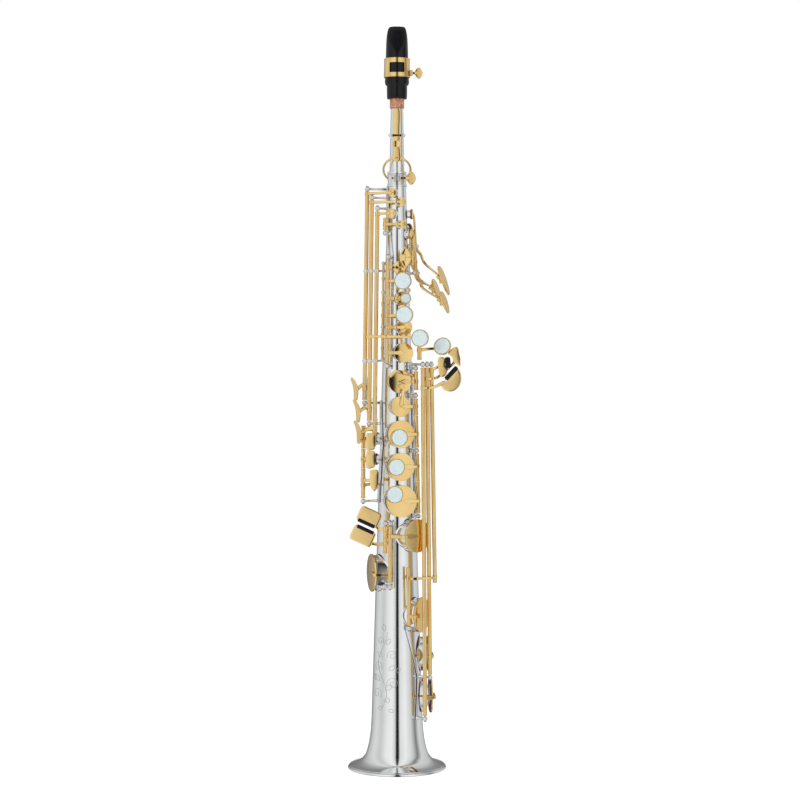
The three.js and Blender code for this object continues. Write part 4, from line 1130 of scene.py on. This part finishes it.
posts("left_hand_posts", [
    UPPER.post(0), UPPER.post(1), SIDE_HIGH_E.post(0), SIDE_C.post(0),
    SIDE_B_FLAT.post(0), BODY_OCTAVE.post(0),
], [(0, 1), (2, 3), (3, 4), (5, 0)], [(4, 5, -62)])
posts("side_key_lower_posts", [
    SIDE_HIGH_E.post(1), SIDE_C.post(1), SIDE_B_FLAT.post(1), RIGHT_HAND.post(0),
], [(0, 1), (1, 2), (2, 3)])
posts("right_side_posts", [
    LOW_B_FLAT.post(0), LOW_B.post(0), C_SHARP_LEVER.post(0), G_SHARP.post(0),
    LOWER.post(0), LOWER.post(1), LOWER.post(2),
], [(0, 1), (1, 2), (0, 3)], [(2, 4, 74), (4, 5, 74), (5, 6, 74)])
posts("bell_key_lower_posts", [
    LOW_B_FLAT.post(1), LOW_B.post(1), LOW_C_SHARP.post(0),
], [(0, 1), (1, 2)])
posts("pinky_key_posts", [
    PINKY_LEVER.post(0), PINKY_KEY.post(0), PINKY_KEY.post(1), PINKY_LEVER.post(1),
], [(0, 1), (2, 3)], [(1, 2, -10)])
posts("octave_posts", [
    OCTAVE_ROD.post(0), OCTAVE_ROD.post(1), on_thumb_hinge(-5.6), on_thumb_hinge(10.6),
], [(0, 1), (1, 2), (2, 3)])
posts("palm_key_posts", palm_posts, [(0, 1), (2, 3), (4, 5), (3, 0), (1, 4)], radius=2)

# Screws in the outer faces of the posts that end a hinge line.
END_SCREWS = [
    (UPPER.post(0), UPPER.axis), (UPPER.post(1), -UPPER.axis),
    (SIDE_HIGH_E.post(0), SIDE_HIGH_E.axis), (SIDE_C.post(0), SIDE_C.axis),
    (SIDE_B_FLAT.post(0), SIDE_B_FLAT.axis), (SIDE_HIGH_E.post(1), -SIDE_HIGH_E.axis),
    (SIDE_C.post(1), -SIDE_C.axis), (SIDE_B_FLAT.post(1), -SIDE_B_FLAT.axis),
    (RIGHT_HAND.post(0), -RIGHT_HAND.axis), (LOW_B_FLAT.post(0), UP), (LOW_B.post(0), UP),
    (C_SHARP_LEVER.post(0), UP), (G_SHARP.post(0), UP), (LOWER.post(0), UP),
    (LOW_B_FLAT.post(1), -UP), (LOW_B.post(1), -UP),
    (LOW_C_SHARP.post(0), -UP), (PINKY_LEVER.post(0), UP), (PINKY_KEY.post(0), UP),
    (PINKY_LEVER.post(1), -UP), (PINKY_KEY.post(1), -UP),
]
piece("pivot_screws", total(
    slotted_head(p + axis * (POST_BALL - 0.05), axis, 1.25) for p, axis in END_SCREWS), STEEL)


SPRING_TURN = 8


def needle_spring(hinge, index, reach):
    """A blued needle spring that runs beside its hinge tube from one of the hinge's posts."""
    start = hinge.post(index)
    end = hinge.at(hinge.post_heights[index] + reach)
    azimuth = azimuth_of(start)
    side = tangent(azimuth + SPRING_TURN) * 0.9 - outward(azimuth) * 2.35
    return rod(start + side * 0.75, end + side, 0.24, 10, 0.17, edge=0.05)


piece("needle_springs", total(needle_spring(*at) for at in (
    (UPPER, 0, -20), (UPPER, 1, 20), (LOWER, 0, -14), (LOWER, 1, 22),
    (LOWER, 1, -22), (LOWER, 2, 20), (LOW_B_FLAT, 1, 26), (LOW_B, 1, 26),
    (LOW_C_SHARP, 0, 24), (PINKY_KEY, 1, 18), (PINKY_KEY, 0, -18),
    (SIDE_HIGH_E, 1, 24), (SIDE_C, 1, 24), (SIDE_B_FLAT, 1, 24),
)), STEEL)


def rod_guide(z):
    """A bracket that steadies the three long side rods against the body."""
    centres = [SIDE_HIGH_E.at(z), SIDE_C.at(z), SIDE_B_FLAT.at(z)]
    foot = on_body(azimuth_of(centres[2]), z, 0.4)
    shape = total(ball(p, 2.5) for p in centres)
    for a, b in zip(centres, centres[1:] + [foot]):
        shape += rod(a, b, 0.95, 16)
    return shape + rod(foot, foot + outward(azimuth_of(foot)) * 1.1, 2.3, 24, edge=0.3)


piece("side_rod_guides", rod_guide(380) + rod_guide(463), POST_SILVER)


def build_second_stack_rod():
    """The thin fixed rod beside the left-hand stack, with the posts that carry it."""
    low, high = v(-13.6, -10.2, 381), v(-12.4, -9.4, 470)
    heights = (0.0, 0.34, 0.7, 1.0)
    shape = rod(low, high, 1.15, 20)
    for t in (0.12, 0.26, 0.46, 0.58, 0.84):
        p = low.lerp(high, t)
        shape += rod(p - UP * 1.6, p + UP * 1.6, 1.55, 20, edge=0.25)
    piece("second_stack_rod", shape, GOLD)
    piece("second_stack_posts", total(post(low.lerp(high, t), 1.8) for t in heights), POST_SILVER)


build_second_stack_rod()

# ---------------------------------------------------------------- engraving

ENGRAVING_AZIMUTH = -30
ENGRAVING_WIDTH = 0.42


def engraved(points):
    """A fine cut line on the bell; points are [millimetres round, height]."""
    path = [on_body(ENGRAVING_AZIMUTH + math.degrees(x / body_radius(z)), z, 0.03)
            for x, z in points]
    count = len(path)
    widths = [ENGRAVING_WIDTH * (0.35 + 0.65 * math.sin(math.pi * (i + 0.5) / count))
              for i in range(count)]
    return sweep(path, widths, 0.12, [outward(azimuth_of(p)) for p in path], steps=2, nose=False)


def spiral(x, z, start, end, angle, turns):
    points = []
    for i in range(22):
        t = i / 21
        r = start + (end - start) * t
        a = math.radians(angle + 360 * turns * t)
        points.append((x + r * math.cos(a), z + r * math.sin(a)))
    return points


def leaf_pair(x, z, length, lean):
    tip = (x + length * math.cos(lean), z + length * math.sin(lean))
    across = (-math.sin(lean), math.cos(lean))
    sides = []
    for bulge in (-0.26, 0.26):
        sides.append([(
            x + (tip[0] - x) * t + across[0] * bulge * length * math.sin(math.pi * t),
            z + (tip[1] - z) * t + across[1] * bulge * length * math.sin(math.pi * t),
        ) for t in (i / 8 for i in range(9))])
    return sides


def build_engraving():
    stem = [(-3 + 5 * math.sin(t / 9), 58 + t) for t in range(0, 76, 4)]
    lines = [stem]
    for x, z, size, angle, turns in (
        (-9, 72, 5.5, -40, 1.4), (8, 82, 6, 200, -1.5), (-8.5, 97, 5.5, -30, 1.4),
        (7, 108, 5, 210, -1.4), (-5.5, 121, 4, -40, 1.3), (3, 66, 3.4, 200, -1.2),
    ):
        lines.append(spiral(x, z, size, 0.9, angle, turns))
    for x, z, length, degrees in (
        (1, 76, 8, 35), (-6, 84, 8, 140), (4, 94, 7.5, 40), (-3, 106, 7.5, 145), (1, 118, 7, 50),
        (-1, 130, 7, 100), (-12, 84, 6, 110), (12, 92, 6, 70), (-2, 60, 6, 200), (4, 58, 6, -20),
    ):
        lines += leaf_pair(x, z, length, math.radians(degrees))
    piece("bell_engraving", total(engraved(line) for line in lines), ENGRAVED)


build_engraving()

# ---------------------------------------------------------------- receiver and neck

RECEIVER_TOP = 552.5
CLAMP_Y = -11.6
CLAMP_Z = 548.5
RECEIVER_BORE = 7.6
RECEIVER_MIDDLE = 8.5


def slit_ring(profile, half_gap, sides=72):
    """A turned ring with a slit across its front; the gap's half width is in millimetres."""
    pts = [tuple(p)[:2] for p in profile]
    rows = []
    limit = math.asin(half_gap / RECEIVER_MIDDLE)
    for k in range(sides + 1):
        a = limit + (TAU - 2 * limit) * k / sides
        direction = v(math.sin(a), -math.cos(a), 0)
        rows.append([direction * r + UP * h for r, h in pts])
    return grid(capped(rows))


def build_receiver():
    profile = soften([
        (RECEIVER_BORE, 541.2, 0), (9.1, 541.2, 0), (9.1, 543, 0), (8.6, 543.6, 0),
        (8.6, 550.9, 0), (9.1, 551.5, 0), (9.1, RECEIVER_TOP, 0), (RECEIVER_BORE, RECEIVER_TOP, 0),
        (RECEIVER_BORE, 541.2, 0),
    ], 0.3, 3)[:-1]
    shape = slit_ring(profile, 0.55)
    outline = [(-3.2, -3.3), (3.2, -3.3), (3.4, 0), (3.2, 3.3), (-3.2, 3.3), (-3.4, 0)]
    for side in (-1, 1):
        shape += plate(outline, 2.6, facing((side * 1.9, CLAMP_Y + 1, CLAMP_Z), RIGHT, BACK),
                       0.4, 0, 4)
    piece("neck_receiver", shape, POST_SILVER, nodes=["neck_receiver"])


build_receiver()


def thumb_screw(start, end, shaft, half_high, half_wide, middle):
    outline = [(half_high * math.cos(a), half_wide * math.sin(a) * (1 - 0.16 * abs(math.cos(a))))
               for a in (TAU * i / 24 for i in range(24))]
    wing = plate(outline, 2.4, facing(middle, TOUCH_FACE, UP), 0.6, 0, 3, dish=0.1)
    return rod(start, end, shaft, 24) + rod(
        end, middle, shaft * 1.7, 24, shaft) + wing


piece("neck_screw", thumb_screw(
    v(-5, CLAMP_Y, CLAMP_Z), v(8, CLAMP_Y, CLAMP_Z), 1.2, 6, 4.4, v(13.02, CLAMP_Y, CLAMP_Z)),
    GOLD, "neck_screw_turn", ["neck_screw"])


def neck_radius(z):
    return 6.9 - (z - 553) * 0.0195


NECK_TOP = 624
NECK_HINGE = v(0, -9.3, 588)


def build_neck():
    profile = [(5.6, 529), (7.0, 529), (7.15, 529.3), (7.15, 552.8), (8.6, 553.0), (8.8, 553.3),
               (8.8, 554.6), (8.5, 555.0), (7.3, 555.3), (neck_radius(556), 556.2)]
    profile += [(neck_radius(z), z) for z in range(560, 613, 4)]
    profile += [(neck_radius(613), 612.8), (5.5, 613.3), (5.0, 623.7), (4.9, NECK_TOP),
                (3.9, NECK_TOP), (4.4, 590), (5.6, 529)]
    shape = lathe(profile, sides=72)
    saddle = []
    for k in range(13):
        a = math.radians(-62 + 124 * k / 12)
        direction = v(math.sin(a), -math.cos(a), 0)
        saddle.append([
            direction * r + UP * (NECK_HINGE.z + h)
            for r, h in ((6.15, -2), (7.0, -1.9), (7.1, 0), (7.0, 1.9), (6.15, 2))
        ])
    shape += grid(capped(saddle))
    for side in (-1, 1):
        p = v(side * 6.2, NECK_HINGE.y, NECK_HINGE.z)
        shape += ball(p, 1.6) + rod(v(side * 6.0, -5.2, NECK_HINGE.z), p, 1.2, 20, 0.95)
    piece("neck_tube", shape, SILVER, "neck", ["neck_tube"])
    cork_profile = soften([
        (5.0, 613.6, 0), (6.5, 613.6, 0), (6.75, 614.4, 0), (6.6, 623, 0), (6.2, NECK_TOP, 0),
        (4.95, NECK_TOP, 0), (5.0, 613.6, 0),
    ], 0.5, 3)
    piece("neck_cork", lathe([(p.x, p.y) for p in cork_profile], sides=64), CORK, "neck",
          ["neck_cork"])


build_neck()


def oval_loop(half_wide, half_long):
    """The loop of round wire that goes round the neck."""
    rows = []
    for k in range(72):
        a = TAU * k / 72
        centre = v(half_wide * math.cos(a), half_long * math.sin(a), 0)
        normal = v(half_long * math.cos(a), half_wide * math.sin(a), 0).normalized()
        rows.append([
            centre + normal * math.cos(b) + UP * (0.95 * math.sin(b))
            for b in (TAU * j / 12 for j in range(12))
        ])
    return grid(rows, wrap_rows=True)


def build_neck_octave_key():
    lift = -9.6
    shape = rod(v(-4.3, NECK_HINGE.y, NECK_HINGE.z), v(4.3, NECK_HINGE.y, NECK_HINGE.z), 1.5, 28)
    top = v(0, -7.1, 608)
    shape += lathe([(0, 0.7), (3.5, 0.7), (3.6, 0.4), (3.8, 0.5), (3.8, 1.5), (3.4, 1.9),
                    (2.6, 2.0), (2.2, 2.35), (0, 2.55)], top, FRONT, 40)
    shape += sweep([v(0, lift, 610), v(0, lift - 0.2, 603), v(0, lift - 0.3, 592),
                    v(0, lift - 0.2, 584), v(0, lift, 574), v(0, -9.5, 567.6)],
                   [6.4, 6.6, 5.6, 6.2, 6.6, 8.4], 1.3, TOUCH_FACE)
    shape += lathe([(0, 0), (4.1, 0), (4.2, 0.3), (4.2, 0.9), (3.7, 1.2), (3.0, 1.25),
                    (2.7, 1.1), (0, 1.05)], v(0, lift - 0.55, 580), TOUCH_FACE, 40)
    turn = Matrix.Translation((0, 1.2, 557.2)) @ Matrix.Rotation(math.radians(-44), 4, "X")
    shape += oval_loop(12.6, 14.6).moved(turn)
    piece("neck_octave_key", shape, GOLD, "neck_octave_key_group", ["neck_octave_key"])
    piece("neck_octave_pad", lathe([(0, 0.75), (3.4, 0.75), (3.45, 0.3), (3.0, 0.02), (0, 0.02)],
                                   top, FRONT, 32), LEATHER, "neck_octave_key_group")
    pip = lathe([(0, -1.6), (2.4, -1.6), (1.7, -0.4), (1.5, -0.08), (0.8, -0.08), (0.8, -1.2),
                 (0, -1.2)], top, FRONT, 32)
    piece("neck_octave_pip", pip, SILVER, "neck")


build_neck_octave_key()

# ---------------------------------------------------------------- mouthpiece, reed, ligature

TIP = 690
TABLE_LEVEL = 6.8
TABLE_START = 639.5
BEAK_START = 662.5
BEAK_SLOPE = math.tan(math.radians(17.5))


def build_mouthpiece():
    """The blank is turned, then each section is pulled in to the beak and the flat table."""
    outline = smooth_path([v(r, z, 0) for r, z in (
        (9.2, 622.9), (9.35, 626), (9.4, 630), (9.4, 634),
    )], 3) + smooth_path([v(r, z, 0) for r, z in (
        (9.5, 634.4), (10.9, 636), (11.2, 638.5), (11.0, 642), (10.7, 650), (10.35, 660),
        (10.1, 670), (9.8, 677), (9.2, 682.5), (8.2, 686.6), (6.5, 689), (3.4, 689.9), (0.4, 690),
    )], 6)
    outline = [v(9.0, 622.5, 0)] + outline
    sides = 72
    rows = []
    for q in outline:
        row = []
        roof = q.x + 0.6 - (q.y - BEAK_START) * BEAK_SLOPE if q.y > BEAK_START else math.inf
        roof = max(roof, -4.4)
        for i in range(sides):
            a = TAU * i / sides
            x, y = q.x * math.cos(a), q.x * math.sin(a)
            if y > 0 and q.y > TABLE_START:
                y = min(y, TABLE_LEVEL)
            if y < -roof:
                y = -roof - (-y - roof) * 0.06
            row.append(v(x, y, q.y))
        rows.append(row)
    socket = ((7.15, 622.3), (7.1, 634), (5.0, 636), (5.0, 655), (4.4, 664), (0.3, 668))
    inner = [
        [v(r * math.cos(TAU * i / sides), r * math.sin(TAU * i / sides), z) for i in range(sides)]
        for r, z in socket
    ]
    shape = grid(inner[::-1] + rows)
    shape += grid([rows[-1], [sum(rows[-1], Vector()) / sides]])
    piece("mouthpiece", shape, EBONITE, "mouthpiece_group", ["mouthpiece"], crease=30)
    piece("mouthpiece_rings", total(
        lathe([(9.1, z - 0.3), (9.42, z), (9.1, z + 0.3), (9.1, z - 0.3)], sides=72)
        for z in (624.4, 625.6)
    ), EBONITE, "mouthpiece_group")


build_mouthpiece()


def build_reed():
    heel = 641
    rows = []
    count = 48
    tip_z = TIP - 0.6
    for k in range(count + 1):
        t = k / count
        z = heel + (tip_z - heel) * t
        half = 5.2 + 1.0 * t
        if t > 0.9:
            s = (t - 0.9) / 0.1
            half *= math.sqrt(max(1 - s * s * 0.97, 0.02))
        thick = 2.2 if z < 663 else 2.2 - 2.0 * ((z - 663) / (tip_z - 663)) ** 0.8
        bark = min(0.35, thick * 0.2)
        y0 = TABLE_LEVEL + 0.2
        row = [v(-half, y0, z), v(half, y0, z)]
        for s in (1, 0.8, 0.55, 0.3, 0, -0.3, -0.55, -0.8, -1):
            fall = (abs(s) ** 3) * (thick * 0.34)
            row.append(v(half * s, y0 + thick - fall - bark * 0.2, z))
        rows.append(row)
    piece("reed", grid(capped(rows)), CANE, "mouthpiece_group", ["reed"])


build_reed()

LIGATURE_BOTTOM = 642
LIGATURE_TOP = 659.6
LIGATURE_INSIDE = 11.4
LIGATURE_WALL = 0.75


def build_ligature():
    """A sheet band with a window in front and at each side, rolled edges and a screw lug."""
    bottom, top = LIGATURE_BOTTOM, LIGATURE_TOP
    columns, levels = 144, 44
    window_low, window_high = 645.9, 655.4

    def in_window(degrees, z):
        front = abs(degrees)
        if window_low < z < window_high and front < 36:
            corner_a = max(0, front - 29) / 7
            corner_z = max(0, abs(z - 650.65) - 3.2) / 1.55
            return corner_a ** 2 + corner_z ** 2 < 1
        side = abs(abs(degrees) - 100)
        return 646.3 < z < 655 and side < 15

    def radius(z):
        return LIGATURE_INSIDE - 0.4 * (z - bottom) / (top - bottom)

    verts, faces, index = [], [], {}

    def vertex(i, j, layer):
        key = (i % columns, j, layer)
        if key not in index:
            a = TAU * i / columns
            z = bottom + (top - bottom) * j / levels
            r = radius(z) + LIGATURE_WALL * layer
            edge = 0.18 if layer and j in (0, levels) else 0
            index[key] = len(verts)
            verts.append(v(math.sin(a) * (r - edge), -math.cos(a) * (r - edge), z))
        return index[key]

    def solid_cell(i, j):
        if not 0 <= j < levels:
            return False
        degrees = ((360 * (i + 0.5) / columns + 180) % 360) - 180
        return not in_window(degrees, bottom + (top - bottom) * (j + 0.5) / levels)

    for i in range(columns):
        for j in range(levels):
            if not solid_cell(i, j):
                continue
            quad = [(i, j), (i + 1, j), (i + 1, j + 1), (i, j + 1)]
            faces.append([vertex(a, b, 1) for a, b in quad])
            faces.append([vertex(a, b, 0) for a, b in reversed(quad)])
            for (a, b), (c, d), near in (
                (quad[0], quad[1], (i, j - 1)), (quad[1], quad[2], (i + 1, j)),
                (quad[2], quad[3], (i, j + 1)), (quad[3], quad[0], (i - 1, j)),
            ):
                if not solid_cell(near[0] % columns, near[1]):
                    faces.append([vertex(c, d, 1), vertex(a, b, 1), vertex(a, b, 0),
                                  vertex(c, d, 0)])
    shape = Shape(verts, faces)
    for z in (bottom + 0.7, top - 0.7):
        r = radius(z) + LIGATURE_WALL
        shape += lathe([(r - 0.2, z - 0.55), (r + 0.12, z - 0.35), (r + 0.12, z + 0.35),
                        (r - 0.2, z + 0.55), (r - 0.2, z - 0.55)], sides=96)
    shape += lathe([(1.5, 0), (2.5, 0), (2.6, 0.3), (2.6, 2.4), (2.3, 2.8), (1.5, 2.8), (1.5, 0)],
                   v(11.8, -3, 646), RIGHT, 32)
    piece("ligature", shape, GOLD, "mouthpiece_group", ["ligature"])
    piece("ligature_screw", thumb_screw(
        v(12, -3, 646), v(16.4, -3, 646), 1.1, 5, 3.6, v(20.08, -3, 646)), GOLD,
        "ligature_screw_turn", ["ligature_screw"])


build_ligature()

# ---------------------------------------------------------------- fittings at the back

HOOK_Z = 300
STRAP_RING_Z = 372
THUMB_REST_Z = 413


def build_fittings():
    y = body_radius(HOOK_Z)
    hook = sweep([v(0, y + 1.3, HOOK_Z - 14), v(0, y + 1.1, HOOK_Z - 3), v(0, y + 0.9, HOOK_Z + 3),
                  v(0, y + 2.6, HOOK_Z + 5.6), v(0, y + 8, HOOK_Z + 5.6),
                  v(0, y + 13.6, HOOK_Z + 4.8), v(0, y + 16.8, HOOK_Z + 1.2),
                  v(0, y + 17.6, HOOK_Z - 4.4)],
                 [9, 9, 9, 11, 12.6, 12.6, 12.2, 9], 1.7,
                 [BACK, BACK, BACK, v(0, -0.6, 1), UP, UP, v(0, 0.8, 0.7), BACK],
                 squareness=0.4, nose=False)
    piece("thumb_hook", hook, GOLD, nodes=["thumb_hook"])
    piece("thumb_hook_screws", slotted_head((0, y + 2.4, HOOK_Z - 10), BACK, 1.7) + slotted_head(
        (0, y + 2.3, HOOK_Z - 4), BACK, 1.7), STEEL)
    y = body_radius(STRAP_RING_Z)
    ring = [(5.6 + 1.2 * math.cos(a), 1.2 * math.sin(a)) for a in (TAU * i / 16 for i in range(17))]
    ring[-1] = ring[0]
    shape = lathe(ring, (0, y + 7.6, STRAP_RING_Z), RIGHT, 48)
    base = [(-9, -2.4), (-6, -3.4), (6, -3.4), (9, -2.4), (9, 2.4), (6, 3.4), (-6, 3.4), (-9, 2.4)]
    shape += plate(base, 1.2, facing((0, y + 1, STRAP_RING_Z), BACK, UP), 0.35, 0.3, 3)
    piece("strap_ring", shape, POST_SILVER, nodes=["strap_ring"])
    y = body_radius(THUMB_REST_Z + 5) + 0.7
    rest = soften([(0, 0, 0), (7.2, 0, 0), (7.2, 1.6, 0), (5.6, 2.7, 0), (4.4, 2.9, 0),
                   (0, 2.2, 0)], 0.5, 4)
    cap = lathe([(max(p.x, 0), p.y) for p in rest], (-1, y, THUMB_REST_Z), BACK, 48)
    piece("thumb_rest", cap, EBONITE, nodes=["thumb_rest"])


build_fittings()


# ---------------------------------------------------------------- stage, light and camera


FLOOR_RADIUS = 3.0
FLOOR_GLOW = 0.72
SURROUND_STRENGTH = 0.95
# Round the horizon from behind the object: bright walls with dark flags between them.
SURROUND = [
    (0.00, 0.16), (0.06, 0.28), (0.14, 0.62), (0.22, 0.80), (0.30, 0.66), (0.38, 0.92),
    (0.44, 0.98), (0.478, 0.70), (0.492, 0.01), (0.518, 0.01), (0.532, 0.80), (0.60, 0.98),
    (0.68, 0.70), (0.74, 0.22), (0.80, 0.75), (0.90, 0.62), (0.95, 0.30), (1.00, 0.16),
]


def build_floor():
    count = 96
    mesh = bpy.data.meshes.new("floor")
    rim = [(FLOOR_RADIUS * math.cos(TAU * i / count), FLOOR_RADIUS * math.sin(TAU * i / count), 0)
           for i in range(count)]
    mesh.from_pydata(rim, [], [tuple(range(count))])
    floor = add_object("floor", mesh)
    floor.location.z = -0.0002
    paper = material("floor_paper", (0.5, 0.5, 0.5), 0.95)
    shader = paper.node_tree.nodes["Principled BSDF"]
    shader.inputs["Emission Color"].default_value = (1, 1, 1, 1)
    shader.inputs["Emission Strength"].default_value = FLOOR_GLOW
    mesh.materials.append(paper)
    # A wide white floor mirrored in the silver would hide the body against the background.
    floor.visible_glossy = False


def build_world():
    """A plain white background, with softer surroundings that light the metal."""
    world = bpy.data.worlds.new("studio")
    bpy.context.scene.world = world
    world.use_nodes = True
    nodes, links = world.node_tree.nodes, world.node_tree.links
    nodes.clear()

    def node(kind, **settings):
        made = nodes.new("ShaderNode" + kind)
        for key, value in settings.items():
            setattr(made, key, value)
        return made

    out, mix, path = node("OutputWorld"), node("MixShader"), node("LightPath")
    white, soft = node("Background"), node("Background")
    white.inputs["Color"].default_value = (1, 1, 1, 1)
    soft.inputs["Strength"].default_value = SURROUND_STRENGTH
    place, split = node("TexCoord"), node("SeparateXYZ")
    angle, flip = node("Math", operation="ARCTAN2"), node("Math", operation="MULTIPLY")
    flip.inputs[1].default_value = -1
    share = node("MapRange")
    share.inputs["From Min"].default_value = -math.pi
    share.inputs["From Max"].default_value = math.pi
    ramp = node("ValToRGB")
    elements = ramp.color_ramp.elements
    for position, _ in SURROUND[2:]:
        elements.new(position)
    for element, (position, value) in zip(elements, SURROUND):
        element.position = position
        element.color = (value, value, value, 1)
    for source, target in (
        (place.outputs["Generated"], split.inputs[0]),
        (split.outputs["X"], angle.inputs[0]),
        (split.outputs["Y"], flip.inputs[0]),
        (flip.outputs[0], angle.inputs[1]),
        (angle.outputs[0], share.inputs["Value"]),
        (share.outputs["Result"], ramp.inputs["Fac"]),
        (ramp.outputs["Color"], soft.inputs["Color"]),
        (path.outputs["Is Camera Ray"], mix.inputs["Fac"]),
        (soft.outputs[0], mix.inputs[1]),
        (white.outputs[0], mix.inputs[2]),
        (mix.outputs[0], out.inputs["Surface"]),
    ):
        links.new(source, target)


def area_light(name, place, target, power, size, size_y):
    light = bpy.data.lights.new(name, "AREA")
    light.shape = "RECTANGLE"
    light.size, light.size_y, light.energy = size, size_y, power
    lamp = add_object(name, light)
    lamp.location = place
    lamp.rotation_euler = (Vector(target) - lamp.location).to_track_quat("-Z", "Y").to_euler()
    lamp.visible_glossy = False


CAMERA_PLACE = (0.0028, -2.0, 0.400)
CAMERA_TARGET = (0.0028, 0, 0.3435)
CAMERA_LENS = 96.8


def build_camera():
    data = bpy.data.cameras.new("camera")
    data.sensor_width = 36
    data.lens = CAMERA_LENS
    data.clip_start = 0.05
    camera = add_object("camera", data)
    camera.location = CAMERA_PLACE
    aim = Vector(CAMERA_TARGET) - camera.location
    camera.rotation_euler = aim.to_track_quat("-Z", "Y").to_euler()
    bpy.context.scene.camera = camera


build_floor()
build_world()
area_light("key_left", (-1.7, -1.5, 1.0), (0, 0, 0.35), 9, 0.7, 1.8)
area_light("fill_right", (1.9, -1.2, 0.8), (0, 0, 0.35), 6, 0.6, 1.8)
area_light("top", (0, -0.3, 2.2), (0, 0, 0.3), 12, 1.4, 1.4)
build_camera()
bpy.context.scene.view_settings.view_transform = "Standard"
